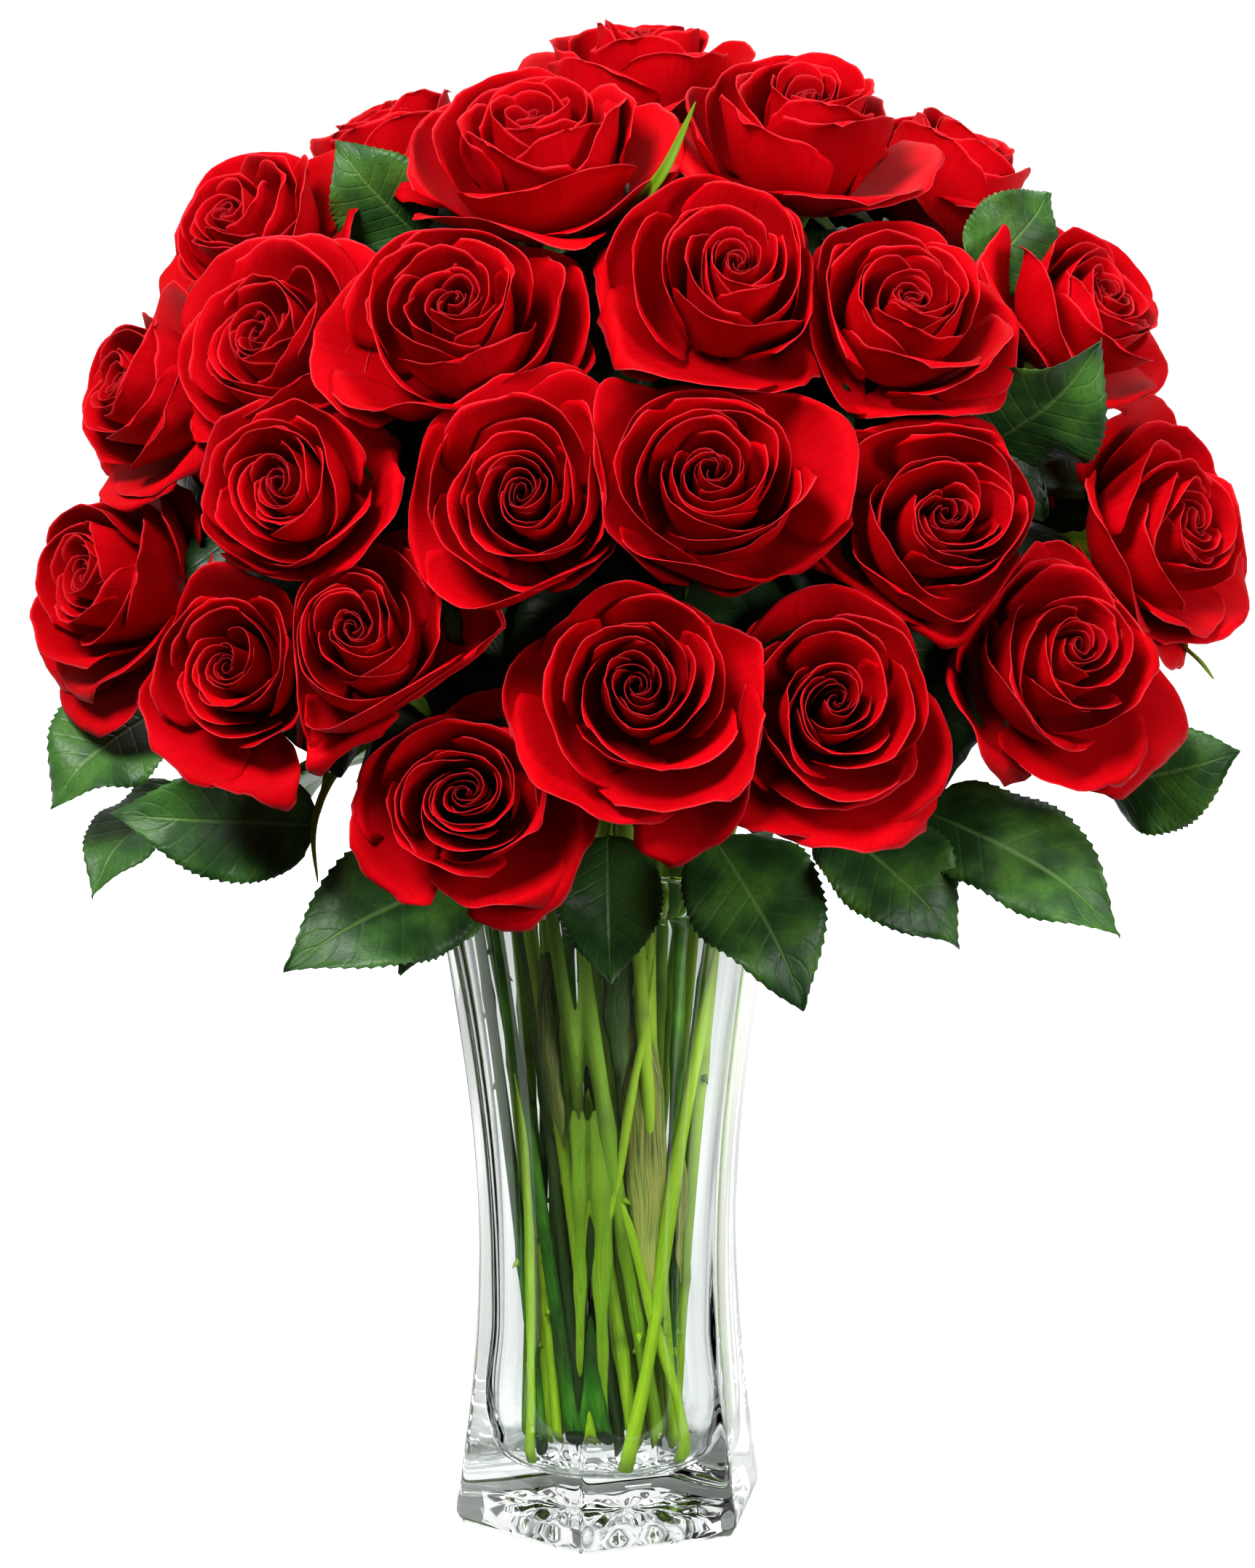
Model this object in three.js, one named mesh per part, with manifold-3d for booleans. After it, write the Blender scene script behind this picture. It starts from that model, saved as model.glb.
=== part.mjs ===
// Red roses in a tall clear hexagonal vase, part filled with water.
// Millimetres, +Z up, origin at the middle of the vase's base, front toward -Y.
import * as THREE from 'three';
import Module from 'manifold-3d';

const wasm = await Module();
wasm.setup();
const { Manifold, Mesh } = wasm;

// Driving dimensions
const GOLDEN_ANGLE = 137.508; // degrees
const VASE_HEIGHT = 254;
const VASE_SIDES = 6;
const VASE_TURN = -9.5; // degrees from the front to the nearest corner
const CORNER_HALF = 3.5; // degrees, half the small flat that dulls each corner
const BORE_SIDES = 20;
const WATER_LEVEL = 226;
const CLEARANCE = 0.3; // between pieces that rest on or in each other
const WATER_GAP = 0.4; // between the water's corners and the bore

const STEM_RADIUS = 2.6;
const STEM_SIDES = 5;
const STEM_FOOT_Z = 22.5; // lowest cut end
const STEM_FOOT_SPREAD = 9; // the highest cut end is this much further up
const NECK_Z = 230; // stems run straight up to here, then fan out
const NECK_RADIUS = 44;
const STEM_TWIST = 60; // degrees that the bundle turns between its cut ends and the neck
const STEM_GATHER = 0.6; // how much closer together the cut ends stand than in the neck
const PAIR_REACH = 1.6; // from the middle of a leaning pair's cut ends to each of them
const SWAP_PASSES = 20;
const FAN_FOCUS_Z = 60; // the fan of stems seems to start here
const FAN_STEPS = 4;
const FAN_HANDLE = 0.3; // handles of the fan's curve, of its reach
const RIM_RISE = 50; // the fan keeps going up this much longer, so as to clear the rim
const STEM_APART = 8; // least distance between the middles of two fans
const RIM_MARGIN = 4.5; // least distance from the middle of a fan to the bore
const SETTLE_PASSES = 40;
const HOLE_GAP = 0.5; // between a stem's corners and its hole in the water

const BLOOM_LENGTH = 42; // from the hip to the eye of an open bloom
const BLOOM_MIDDLE = 0.4; // how far its middle is below the eye, of that length
const BLOOM_COLUMNS = 12;
const PETAL_THICKNESS = 0.8;
const HIP_LENGTH = 14;
const HIP_RINGS = [[6.2, 8], [7.2, 1.2], [5.5, 0]]; // radius, distance below the bloom
const SEPAL_ROOT = 4.5;
const SEPAL_LENGTH = 25;
const SEPAL_WIDTH = 7;
const SEPAL_THICKNESS = 1.6;
const SEPAL_DROP = [8, 4]; // of its tip below the bloom, and how much that varies
const SEPAL_LEAN = 5; // of its tip to either side
const LEAF_THICKNESS = 0.8;

// vase outside: height, radius at the corners
const VASE_OUTSIDE = [
  [0, 57.5], [2, 59], [16, 58.5], [40, 55.5], [75, 52.2],
  [110, 51], [150, 53], [190, 58], [225, 63.5], [VASE_HEIGHT, 69],
];
// round bore: height, radius
const VASE_BORE = [
  [21, 29], [23.5, 34], [31, 37.2], [75, 37.4], [110, 38],
  [150, 40.5], [200, 46.5], [230, 51.5], [VASE_HEIGHT, 56],
];

// One line a rose: the eye of the bloom x, y, z; the way it faces, as degrees of yaw from
// the front (positive to +X) and of pitch above the horizon; size against a full bloom
const ROSES = [
  [12, -12, 556, 20, 84, 1.0],
  [70, -88, 535, 18, 66, 1.0],
  [-25, -108, 528, -10, 60, 1.05],
  [-85, 10, 527, -80, 66, 1.0],
  [-132, -80, 494, -40, 38, 0.85],
  [133, 10, 518, 80, 60, 1.0],
  [-52, -160, 467, -6, 35, 1.05],
  [42, -158, 481, 6, 40, 1.0],
  [103, -142, 468, 14, 35, 0.95],
  [176, -80, 466, 53, 37, 0.85],
  [-118, -136, 455, -32, 30, 0.95],
  [-170, -98, 437, -62, 22, 0.85],
  [-111, -162, 405, -22, 18, 0.85],
  [-28, -192, 407, -6, 20, 1.0],
  [36, -193, 412, 3, 24, 1.05],
  [114, -172, 398, 10, 20, 1.0],
  [207, -85, 386, 48, 15, 0.95],
  [-184, -102, 369, -48, 15, 0.95],
  [-128, -155, 345, -18, 18, 0.85],
  [-85, -180, 360, -12, 26, 0.95],
  [11, -192, 341, 0, 18, 1.05],
  [76, -184, 335, 6, 17, 0.95],
  [160, -145, 348, 27, 20, 1.0],
  [-48, -176, 302, -3, 12, 0.9],
  [10, 85, 500, 180, 45, 1.0],
  [-100, 85, 455, -145, 30, 1.0],
  [112, 88, 450, 140, 25, 1.0],
  [-45, 120, 415, -170, 20, 1.0],
  [55, 120, 410, 170, 20, 1.0],
  [-150, 15, 400, -110, 15, 0.95],
  [165, 12, 396, 105, 10, 0.95],
];
// Roses at the back whose stems lean on each other at their cut ends
const STEM_PAIRS = [[1, 25], [26, 30], [27, 31], [28, 29]];

// One line a leaf: base of the blade x, y, z and its tip x, y, z; width; roll about the
// midrib, degrees. Each grows from the stem that passes nearest to its base.
const LEAVES = [
  [-160, -70, 316, -196, -95, 289, 36, -10],
  [-150, -55, 286, -185, -88, 257, 30, 0],
  [-104, -92, 279, -169, -120, 287, 42, -10],
  [-50, -92, 262, -111, -125, 237, 46, 0],
  [-46, -78, 256, -75, -94, 226, 30, 10],
  [0, -84, 273, 1, -97, 225, 32, 0],
  [38, -92, 274, 69, -128, 223, 48, 0],
  [78, -92, 280, 123, -120, 243, 44, 0],
  [112, -86, 283, 179, -118, 249, 46, 0],
  [180, -55, 290, 223, -78, 302, 36, 10],
  [140, -85, 402, 164, -128, 440, 36, 0],
  [134, -60, 471, 158, -50, 500, 30, 0],
  [-70, -64, 484, -88, -80, 518, 32, 0],
];
// Leaves round the back: how many, the azimuths from the front between which they stand,
// radius and height of their bases and tips, width
const SKIRT = { count: 8, from: 115, to: 258, base: [85, 285], tip: [148, 250], width: 44 };
const SKIRT_STRAY = { azimuth: 0.25, height: 12, width: 0.15 };

// Half outline of a blade: share of its length, share of its half width
const LEAF_EDGE = [[0, 0.1], [0.22, 0.84], [0.29, 0.76], [0.52, 1], [0.6, 0.84], [0.84, 0.46]];
const LEAF_LOOK_UP = 0.4; // a leaf's face looks outward, and up by this much of that
const LEAF_BULGE = 0.07; // rise of the midrib's middle, of the length
const LEAF_FOLD = 0.16; // rise of the edges above the midrib, of the half width

// Petals from the heart outward: share of the way out, then radii of the belly, of the neck
// and of the rolled lip, height, drop of the lip
const PETAL_STATIONS = [
  [0, 4.5, 2, 2.6, 40, -1.5],
  [0.12, 7, 4.6, 6, 42, -1],
  [0.3, 11.5, 9.5, 12.5, 44.5, 0],
  [0.5, 17.5, 16, 20, 45.5, 0.6],
  [0.7, 24, 24, 29, 43.5, 2.2],
  [0.88, 29, 33, 40, 39.5, 6],
  [1, 33, 44, 53, 31, 9],
];
// Whorls of solid petals from the outside in: petals in it, share of the way out, the rows
// up its outside as shares of the petal's length, and how many of them its inside repeats
const WHORLS = [
  { petals: 4, share: 0.95, outside: [0.42, 0.75, 1], inside: 2 },
  { petals: 4, share: 0.6, outside: [0.6, 1], inside: 1 },
];
const PETAL_STRAY = { share: 0.04, height: 1.5, notch: 0.08, tip: 0.05, angle: 0.3 };
const NOTCH = 0.7; // how far up a petal the cut between it and the next one ends
// Floor of the gap inside each whorl, and the furled heart: radius, height
const GAP_FLOORS = [[15, 9], [11, 19]];
const HEART = [[11.5, 30], [5, 42]];
const BLOOM_FOOT = 7; // radius of the flat under the petals

const CROWD_GAP = 0.6; // petals stop this far short of the plane halfway to the next bloom
const CROWD_SOFT = 6; // and give way over this much before it
const CROWD_REACH = 130;
const ROOM_HEIGHT = 30; // height in a bloom at which its room to open is taken
const ROOM_PRESS = 6; // and how far past the halfway plane it would still open
const ROOM_LEAST = 0.5;

const MATERIALS = {
  petal: new THREE.MeshStandardMaterial({ color: 0xb00812, roughness: 0.55, metalness: 0 }),
  stem: new THREE.MeshStandardMaterial({ color: 0x2f5a24, roughness: 0.6, metalness: 0 }),
  glass: new THREE.MeshStandardMaterial({
    color: 0xe8f2f0, roughness: 0.03, metalness: 0, transparent: true, opacity: 0.35,
  }),
  water: new THREE.MeshStandardMaterial({
    color: 0xdcecee, roughness: 0.02, metalness: 0, transparent: true, opacity: 0.4,
  }),
};

const radians = THREE.MathUtils.degToRad;
const { lerp } = THREE.MathUtils;
const vec = (x, y, z) => new THREE.Vector3(x, y, z);
const times = (n, make) => Array.from({ length: n }, (_, k) => make(k));

// a fixed draw between -1 and 1 for three whole numbers
function draw(i, j, c) {
  const s = Math.sin(i * 12.9898 + j * 78.233 + c * 37.719) * 43758.5453;
  return 2 * (s - Math.floor(s)) - 1;
}

// a closed solid from points and triangles that face outward
function solid(points, triangles) {
  return new Manifold(new Mesh({
    numProp: 3,
    vertProperties: new Float32Array(points.flatMap((p) => [p.x, p.y, p.z])),
    triVerts: new Uint32Array(triangles.flat()),
  }));
}

// rings of points, the same number in each, with a flat fan over both ends; the strip after
// a ring that is listed as mirrored is split along its other diagonals
function skin(rings, mirrored = []) {
  const n = rings[0].length;
  const top = (rings.length - 1) * n;
  const triangles = [];
  for (let i = 0; i < top; i += n) {
    const other = mirrored.includes(i / n);
    for (let j = 0; j < n; j += 1) {
      const [a, b] = [i + j, i + ((j + 1) % n)];
      if (other) triangles.push([a, b, a + n], [b, b + n, a + n]);
      else triangles.push([a, b, b + n], [a, b + n, a + n]);
    }
  }
  for (let j = 1; j + 1 < n; j += 1) {
    triangles.push([0, j + 1, j], [top, top + j, top + j + 1]);
  }
  return solid(rings.flat(), triangles);
}

// a ring of points round a centre, in the plane of two axes
function ring(centre, [across, up], radius, sides) {
  return times(sides, (j) => {
    const a = (2 * Math.PI * j) / sides;
    return centre.clone().addScaledVector(across, radius * Math.cos(a))
      .addScaledVector(up, radius * Math.sin(a));
  });
}

// two directions at right angles to an axis, the first one level
function sideways(axis) {
  const level = Math.abs(axis.z) > 0.999 ? vec(1, 0, 0) : vec(-axis.y, axis.x, 0).normalize();
  return [level, axis.clone().cross(level).normalize()];
}

// rings round a path that turn as little as they can
function tubeRings(path, radius, sides) {
  let across = vec(1, 0, 0);
  return path.map((p, k) => {
    const ahead = path[Math.min(k + 1, path.length - 1)].clone().sub(p).normalize();
    const behind = p.clone().sub(path[Math.max(k - 1, 0)]).normalize();
    const along = ahead.add(behind).normalize();
    across = across.clone().addScaledVector(along, -across.dot(along)).normalize();
    return ring(p, [across, along.clone().cross(across)], radius, sides);
  });
}

// Roses: base and middle of each head, and its own axes with +Z the way it faces
const heads = ROSES.map(([x, y, z, yaw, pitch, size]) => {
  const axis = vec(0, 0, 1).applyAxisAngle(vec(1, 0, 0), radians(90 - pitch))
    .applyAxisAngle(vec(0, 0, 1), radians(yaw));
  const base = vec(x, y, z).addScaledVector(axis, -BLOOM_LENGTH * size);
  const middle = vec(x, y, z).addScaledVector(axis, -BLOOM_MIDDLE * BLOOM_LENGTH * size);
  const frame = new THREE.Matrix4().makeBasis(...sideways(axis), axis).setPosition(base);
  return { axis, base, middle, size, frame };
});

// the planes halfway to the other heads near by, each as its middle and the way across it
for (const own of heads) {
  own.planes = heads.filter((head) => {
    const distance = head.middle.distanceTo(own.middle);
    return distance > 0 && distance < CROWD_REACH;
  }).map((head) => ({
    half: head.middle.clone().lerp(own.middle, 0.5),
    across: head.middle.clone().sub(own.middle).normalize(),
  }));
}

// how far a bloom can open toward an angle, as a share of the radius that it would reach: up
// to the nearest halfway plane and a bit past it
function room(own, angle, radius) {
  const out = vec(Math.cos(angle), Math.sin(angle), 0).transformDirection(own.frame);
  const from = own.base.clone().addScaledVector(own.axis, ROOM_HEIGHT * own.size);
  const free = own.planes.map(({ half, across }) => {
    const toward = out.dot(across);
    return toward > 0.05 ? half.clone().sub(from).dot(across) / toward : Infinity;
  });
  const share = (Math.min(...free) + ROOM_PRESS) / (radius * own.size);
  return THREE.MathUtils.clamp(share, ROOM_LEAST, 1);
}

// a point of one head gives way to its neighbours: it never passes the halfway planes
function giveWay(point, own) {
  for (const hard of [false, true, true]) {
    for (const { half, across } of own.planes) {
      const depth = point.clone().sub(half).dot(across) + CROWD_GAP;
      const past = Math.max(0, depth + CROWD_SOFT);
      const soft = CROWD_SOFT * (1 - Math.exp(-past / CROWD_SOFT)) - past;
      point.addScaledVector(across, hard ? -Math.max(0, depth) : soft);
    }
  }
  return point;
}

// sizes of a petal at a share of the way out
function station(share) {
  const k = Math.max(1, PETAL_STATIONS.findIndex((row) => row[0] >= share));
  const [a, b] = [PETAL_STATIONS[k - 1], PETAL_STATIONS[k]];
  const f = (share - a[0]) / (b[0] - a[0]);
  return a.slice(1).map((value, c) => lerp(value, b[c + 1], f));
}

// radius and height of a petal's outside at v, root 0 to lip 1: a curve of five handles that
// leaves the hip, rounds the belly, draws in to the neck and rolls over at the lip
function petalCurve([belly, neck, lip, height, drop], v) {
  const handles = [
    [2.5, 0], [0.8 * belly, 0.02 * height], [1.1 * belly, 0.42 * height],
    [neck, 0.98 * height], [neck + 0.9 * (lip - neck), height - 0.8 * drop],
  ];
  const u = 1 - v;
  const weights = [u ** 4, 4 * v * u ** 3, 6 * v * v * u * u, 4 * v ** 3 * u, v ** 4];
  return [0, 1].map((c) => handles.reduce((sum, h, k) => sum + weights[k] * h[c], 0));
}

// the rings of a wall shifted inward by the thickness of a petal, along the normals that the
// triangles round each point have together
function inset(walls) {
  const n = walls[0].length;
  const inward = walls.map((points) => points.map(() => vec(0, 0, 0)));
  const lean = (...corners) => {
    const [a, b, c] = corners.map(([i, j]) => walls[i][j]);
    const normal = c.clone().sub(a).cross(b.clone().sub(a)).normalize();
    for (const [i, j] of corners) inward[i][j].add(normal);
  };
  for (let i = 0; i + 1 < walls.length; i += 1) {
    for (let j = 0; j < n; j += 1) {
      const k = (j + 1) % n;
      lean([i, j], [i, k], [i + 1, k]);
      lean([i, j], [i + 1, k], [i + 1, j]);
    }
  }
  return walls.map((points, i) => points.map((p, j) => (
    p.clone().addScaledVector(inward[i][j].normalize(), PETAL_THICKNESS))));
}

// One bloom as a single folded skin: up the outside of each whorl, over its notched lip,
// down its inside to the floor of the gap, and so inward to the furled heart. The inside is
// split into triangles like the outside.
function bloom(index) {
  const head = heads[index];
  const place = (p) => giveWay(p.multiplyScalar(head.size).applyMatrix4(head.frame), head);
  const turnStart = Math.PI * draw(index, 0, 0);
  const angle = (j, shift) => turnStart + (2 * Math.PI * (j + shift)) / BLOOM_COLUMNS;
  const round = (radius, z) => times(BLOOM_COLUMNS, (j) => (
    place(vec(radius * Math.cos(angle(j, 0)), radius * Math.sin(angle(j, 0)), z))));
  const rings = [round(BLOOM_FOOT, CLEARANCE)];
  const mirrored = [];
  WHORLS.forEach(({ petals, share, outside, inside }, whorl) => {
    const each = BLOOM_COLUMNS / petals;
    const columns = times(BLOOM_COLUMNS, (j) => {
      const petal = Math.floor(j / each) + 10 * whorl;
      const notch = (j + whorl) % each === 0;
      const sizes = station(share + PETAL_STRAY.share * draw(index, petal, 1));
      const opening = room(head, angle(j, 0), sizes[2]);
      for (const c of [0, 1, 2]) sizes[c] *= opening;
      sizes[3] += PETAL_STRAY.height * draw(index, petal, 2);
      const reach = notch ? NOTCH + PETAL_STRAY.notch * draw(index, petal, 3)
        : 1 + PETAL_STRAY.tip * draw(index, j, 4);
      return { a: angle(j, PETAL_STRAY.angle * draw(index, j, 5)), sizes, reach };
    });
    const outer = (v) => columns.map(({ a, sizes, reach }) => {
      const [r, z] = petalCurve(sizes, v * reach);
      return place(vec(r * Math.cos(a), r * Math.sin(a), z));
    });
    const walls = [rings[rings.length - 1], ...outside.map(outer)];
    rings.push(...walls.slice(1));
    const linings = inset(walls).slice(-inside).reverse();
    mirrored.push(...linings.map((_, k) => rings.length + k));
    rings.push(...linings, round(...GAP_FLOORS[whorl]));
  });
  rings.push(...HEART.map(([r, z]) => round(r, z)));
  return skin(rings, mirrored);
}

// Places in the neck of the vase in a sunflower pattern, one for each rose: any two roses
// change places as long as that brings both nearer to the lines their stems would take.
function neckPlaces() {
  const places = times(ROSES.length, (k) => {
    const radius = NECK_RADIUS * Math.sqrt((k + 0.5) / ROSES.length);
    const a = radians(k * GOLDEN_ANGLE);
    return vec(radius * Math.cos(a), radius * Math.sin(a), NECK_Z);
  });
  const aims = heads.map(({ base }) => vec(base.x, base.y, 0).divideScalar(base.z - FAN_FOCUS_Z));
  const mean = aims.reduce((sum, aim) => sum.add(aim), vec(0, 0, 0)).divideScalar(aims.length);
  aims.forEach((aim) => aim.sub(mean));
  const widest = Math.max(...aims.map((aim) => aim.length()));
  aims.forEach((aim) => aim.multiplyScalar(NECK_RADIUS / widest).setZ(NECK_Z));
  const cost = (k, place) => aims[k].distanceToSquared(places[place]);
  const chosen = times(ROSES.length, (k) => k);
  for (let pass = 0; pass < SWAP_PASSES; pass += 1) {
    for (let a = 1; a < chosen.length; a += 1) {
      for (let b = 0; b < a; b += 1) {
        const [p, q] = [chosen[a], chosen[b]];
        if (cost(a, q) + cost(b, p) < cost(a, p) + cost(b, q)) [chosen[a], chosen[b]] = [q, p];
      }
    }
  }
  return chosen.map((place) => places[place]);
}

const necks = neckPlaces();
const feet = necks.map((neck, k) => vec(neck.x, neck.y, 0).multiplyScalar(STEM_GATHER)
  .applyAxisAngle(vec(0, 0, 1), radians(STEM_TWIST))
  .setZ(STEM_FOOT_Z + 0.5 * STEM_FOOT_SPREAD * (1 + draw(k, 0, 11))));
for (const pair of STEM_PAIRS) {
  const [a, b] = pair.map((rose) => feet[rose - 1]);
  const half = a.clone().lerp(b, 0.5);
  for (const foot of [a, b]) {
    foot.sub(half).setZ(0).setLength(PAIR_REACH).add(half);
  }
}

// the fan of a stem: from the neck of the vase to the hip under the bloom
const fans = heads.map(({ axis, base }, k) => {
  const end = base.clone().addScaledVector(axis, -HIP_LENGTH);
  const reach = end.distanceTo(necks[k]);
  const rise = necks[k].clone().sub(feet[k]).normalize();
  return new THREE.CubicBezierCurve3(
    necks[k],
    necks[k].clone().addScaledVector(rise, RIM_RISE + FAN_HANDLE * reach),
    end.clone().addScaledVector(axis, -FAN_HANDLE * reach),
    end,
  );
});

// the points of a fan as it is built: straight between its steps, ten points to a step
function fanPoints(fan) {
  const corners = fan.getPoints(FAN_STEPS);
  return times(10 * FAN_STEPS + 1, (n) => {
    const step = Math.min(Math.floor(n / 10), FAN_STEPS - 1);
    return corners[step].clone().lerp(corners[step + 1], n / 10 - step);
  });
}

// moves the inner handles of a fan so that its point n shifts by the given way
function bend(fan, n, way) {
  const t = n / (10 * FAN_STEPS);
  const [w1, w2] = [3 * t * (1 - t) ** 2, 3 * t * t * (1 - t)];
  const all = Math.max(0.1, w1 * w1 + w2 * w2);
  fan.v1.addScaledVector(way, w1 / all);
  fan.v2.addScaledVector(way, w2 / all);
}

// fans that pass too near each other or the rim give way a little at a time
function settleFans() {
  for (let pass = 0; pass < SETTLE_PASSES; pass += 1) {
    for (let a = 0; a < fans.length; a += 1) {
      for (let b = 0; b < a; b += 1) {
        const [pa, pb] = [fanPoints(fans[a]), fanPoints(fans[b])];
        let [least, na, nb] = [STEM_APART, -1, -1];
        pa.forEach((p, i) => pb.forEach((q, j) => {
          const distance = p.distanceTo(q);
          if (distance < least) [least, na, nb] = [distance, i, j];
        }));
        if (na >= 0) {
          const way = pa[na].clone().sub(pb[nb]).setLength((STEM_APART - least) / 2);
          bend(fans[a], na, way);
          bend(fans[b], nb, way.negate());
        }
      }
      fanPoints(fans[a]).forEach((p, n) => {
        const past = Math.hypot(p.x, p.y) - boreRadius(Math.min(p.z, VASE_HEIGHT)) + RIM_MARGIN;
        if (p.z < VASE_HEIGHT + RIM_MARGIN && past > 0) {
          bend(fans[a], n, vec(-p.x, -p.y, 0).setLength(0.2 * past));
        }
      });
    }
  }
}
settleFans();

// one stem with the hip at its top; the hip's rings start at the corner next to the stem's
function stem(k) {
  const { axis, base } = heads[k];
  const rings = tubeRings([feet[k], ...fans[k].getPoints(FAN_STEPS)], STEM_RADIUS, STEM_SIDES);
  const last = rings[rings.length - 1];
  const [level, up] = sideways(axis);
  const hip = HIP_RINGS.map(([radius, below]) => (
    ring(base.clone().addScaledVector(axis, -below), [level, up], radius, STEM_SIDES)));
  const gap = (shift) => hip[0][shift].distanceTo(last[0]);
  const start = times(STEM_SIDES, (n) => n).sort((a, b) => gap(a) - gap(b))[0];
  const turn = (points) => [...points.slice(start), ...points.slice(0, start)];
  return skin([...rings, ...hip.map(turn)]);
}

// five pointed sepals that bend back from the top of the hip
function sepals(k) {
  const { frame } = heads[k];
  return times(STEM_SIDES, (n) => {
    const a = (2 * Math.PI * (n + 0.5)) / STEM_SIDES;
    const [out, side] = [vec(Math.cos(a), Math.sin(a), 0), vec(-Math.sin(a), Math.cos(a), 0)];
    const root = out.clone().multiplyScalar(SEPAL_ROOT).setZ(-2);
    const drop = SEPAL_DROP[0] + SEPAL_DROP[1] * draw(k, n, 13);
    const tip = out.clone().multiplyScalar(SEPAL_LENGTH).setZ(-drop);
    const points = [
      root.clone().addScaledVector(side, SEPAL_WIDTH / 2),
      root.clone().addScaledVector(side, -SEPAL_WIDTH / 2),
      root.clone().setZ(root.z - SEPAL_THICKNESS),
      tip.addScaledVector(side, SEPAL_LEAN * draw(k, n, 12)),
    ];
    for (const p of points) giveWay(p.applyMatrix4(frame), heads[k]);
    return solid(points, [[0, 2, 1], [0, 1, 3], [1, 2, 3], [2, 0, 3]]);
  });
}

// the nearest point on any fan, off its ends, with the rose whose stem it is
function nearestStem(point) {
  const found = fans.flatMap((fan, rose) => fanPoints(fan).slice(10, -5).map((at) => ({ rose, at })));
  return found.sort((a, b) => a.at.distanceTo(point) - b.at.distanceTo(point))[0];
}

// a toothed leaf as one thin sheet, its stalk a strip that runs back into the stem
function leaf(base, tip, width, roll, root) {
  const along = tip.clone().sub(base);
  const length = along.length();
  along.normalize();
  const outlook = vec(base.x, base.y, 0).normalize().setZ(LEAF_LOOK_UP);
  const up = outlook.addScaledVector(along, -outlook.dot(along)).normalize()
    .applyAxisAngle(along, radians(roll));
  const side = along.clone().cross(up);
  const rows = LEAF_EDGE.map(([t, share]) => {
    const rib = base.clone().addScaledVector(along, t * length)
      .addScaledVector(up, 4 * LEAF_BULGE * length * t * (1 - t));
    const half = (share * width) / 2;
    return [-1, 0, 1].map((s) => rib.clone().addScaledVector(side, s * half)
      .addScaledVector(up, Math.abs(s) * LEAF_FOLD * half));
  });
  return sheet([[root], ...rows, [tip]], LEAF_THICKNESS);
}

// a thin sheet round a middle surface given as rows of three points, its first and last row
// a single one; both faces have the same triangles, half a thickness off along the normals
function sheet(rows, thickness) {
  const middle = rows.flat();
  const face = [];
  for (let i = 1; i + 2 < rows.length; i += 1) {
    const a = 3 * i - 2;
    face.push([a, a + 1, a + 3], [a + 1, a + 4, a + 3], [a + 1, a + 2, a + 5], [a + 1, a + 5, a + 4]);
  }
  const end = middle.length - 1;
  face.push([0, 2, 1], [0, 3, 2], [end - 3, end - 2, end], [end - 2, end - 1, end]);
  const normals = middle.map(() => vec(0, 0, 0));
  for (const [a, b, c] of face) {
    const normal = middle[b].clone().sub(middle[a]).cross(middle[c].clone().sub(middle[a]));
    for (const k of [a, b, c]) normals[k].add(normal);
  }
  const shifted = (sign) => middle.map((p, k) => (
    p.clone().addScaledVector(normals[k].clone().normalize(), (sign * thickness) / 2)));
  const n = middle.length;
  const left = [0, ...times(rows.length - 2, (i) => 3 * i + 1), end];
  const right = [0, ...times(rows.length - 2, (i) => 3 * i + 3), end];
  const rim = (line, flip) => line.slice(1).flatMap((b, i) => {
    const a = line[i];
    return flip ? [[a, b, b + n], [a, b + n, a + n]] : [[a, b + n, b], [a, a + n, b + n]];
  });
  const triangles = face.flatMap(([a, b, c]) => [[a, b, c], [a + n, c + n, b + n]]);
  return solid([...shifted(1), ...shifted(-1)], [...triangles, ...rim(left, true), ...rim(right, false)]);
}

// the hexagonal vase with its corners dulled and a round bore, open at the top
function vase() {
  const outside = VASE_OUTSIDE.map(([z, radius]) => times(2 * VASE_SIDES, (j) => {
    const corner = (360 / VASE_SIDES) * Math.floor(j / 2);
    const a = radians(VASE_TURN + corner + CORNER_HALF * (j % 2 ? 1 : -1) - 90);
    return vec(radius * Math.cos(a), radius * Math.sin(a), z);
  }));
  const above = [VASE_HEIGHT + 10, VASE_BORE[VASE_BORE.length - 1][1] + 2];
  return skin(outside).subtract(turned([...VASE_BORE, above], 0));
}

// radius of the bore at a height
function boreRadius(height) {
  const k = Math.max(1, VASE_BORE.findIndex(([z]) => z >= height));
  const [[z0, r0], [z1, r1]] = [VASE_BORE[k - 1], VASE_BORE[k]];
  return lerp(r0, r1, (height - z0) / (z1 - z0));
}

// a round solid from heights and radii, all of them grown by the same amount
function turned(profile, grow) {
  return skin(profile.map(([z, radius]) => (
    ring(vec(0, 0, z), [vec(1, 0, 0), vec(0, 1, 0)], radius + grow, BORE_SIDES))));
}

// water that fills the bore up to its level, with a plain hole for each stem
function water() {
  const surface = [WATER_LEVEL, boreRadius(WATER_LEVEL)];
  const raised = VASE_BORE.filter(([z]) => z < WATER_LEVEL)
    .map(([z, radius]) => [z + CLEARANCE, radius]);
  const holes = feet.map((foot, n) => skin(tubeRings(
    [foot.clone().lerp(necks[n], -0.1), necks[n]], STEM_RADIUS + HOLE_GAP, STEM_SIDES)));
  return turned([...raised, surface], -WATER_GAP).subtract(Manifold.union(holes));
}

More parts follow.
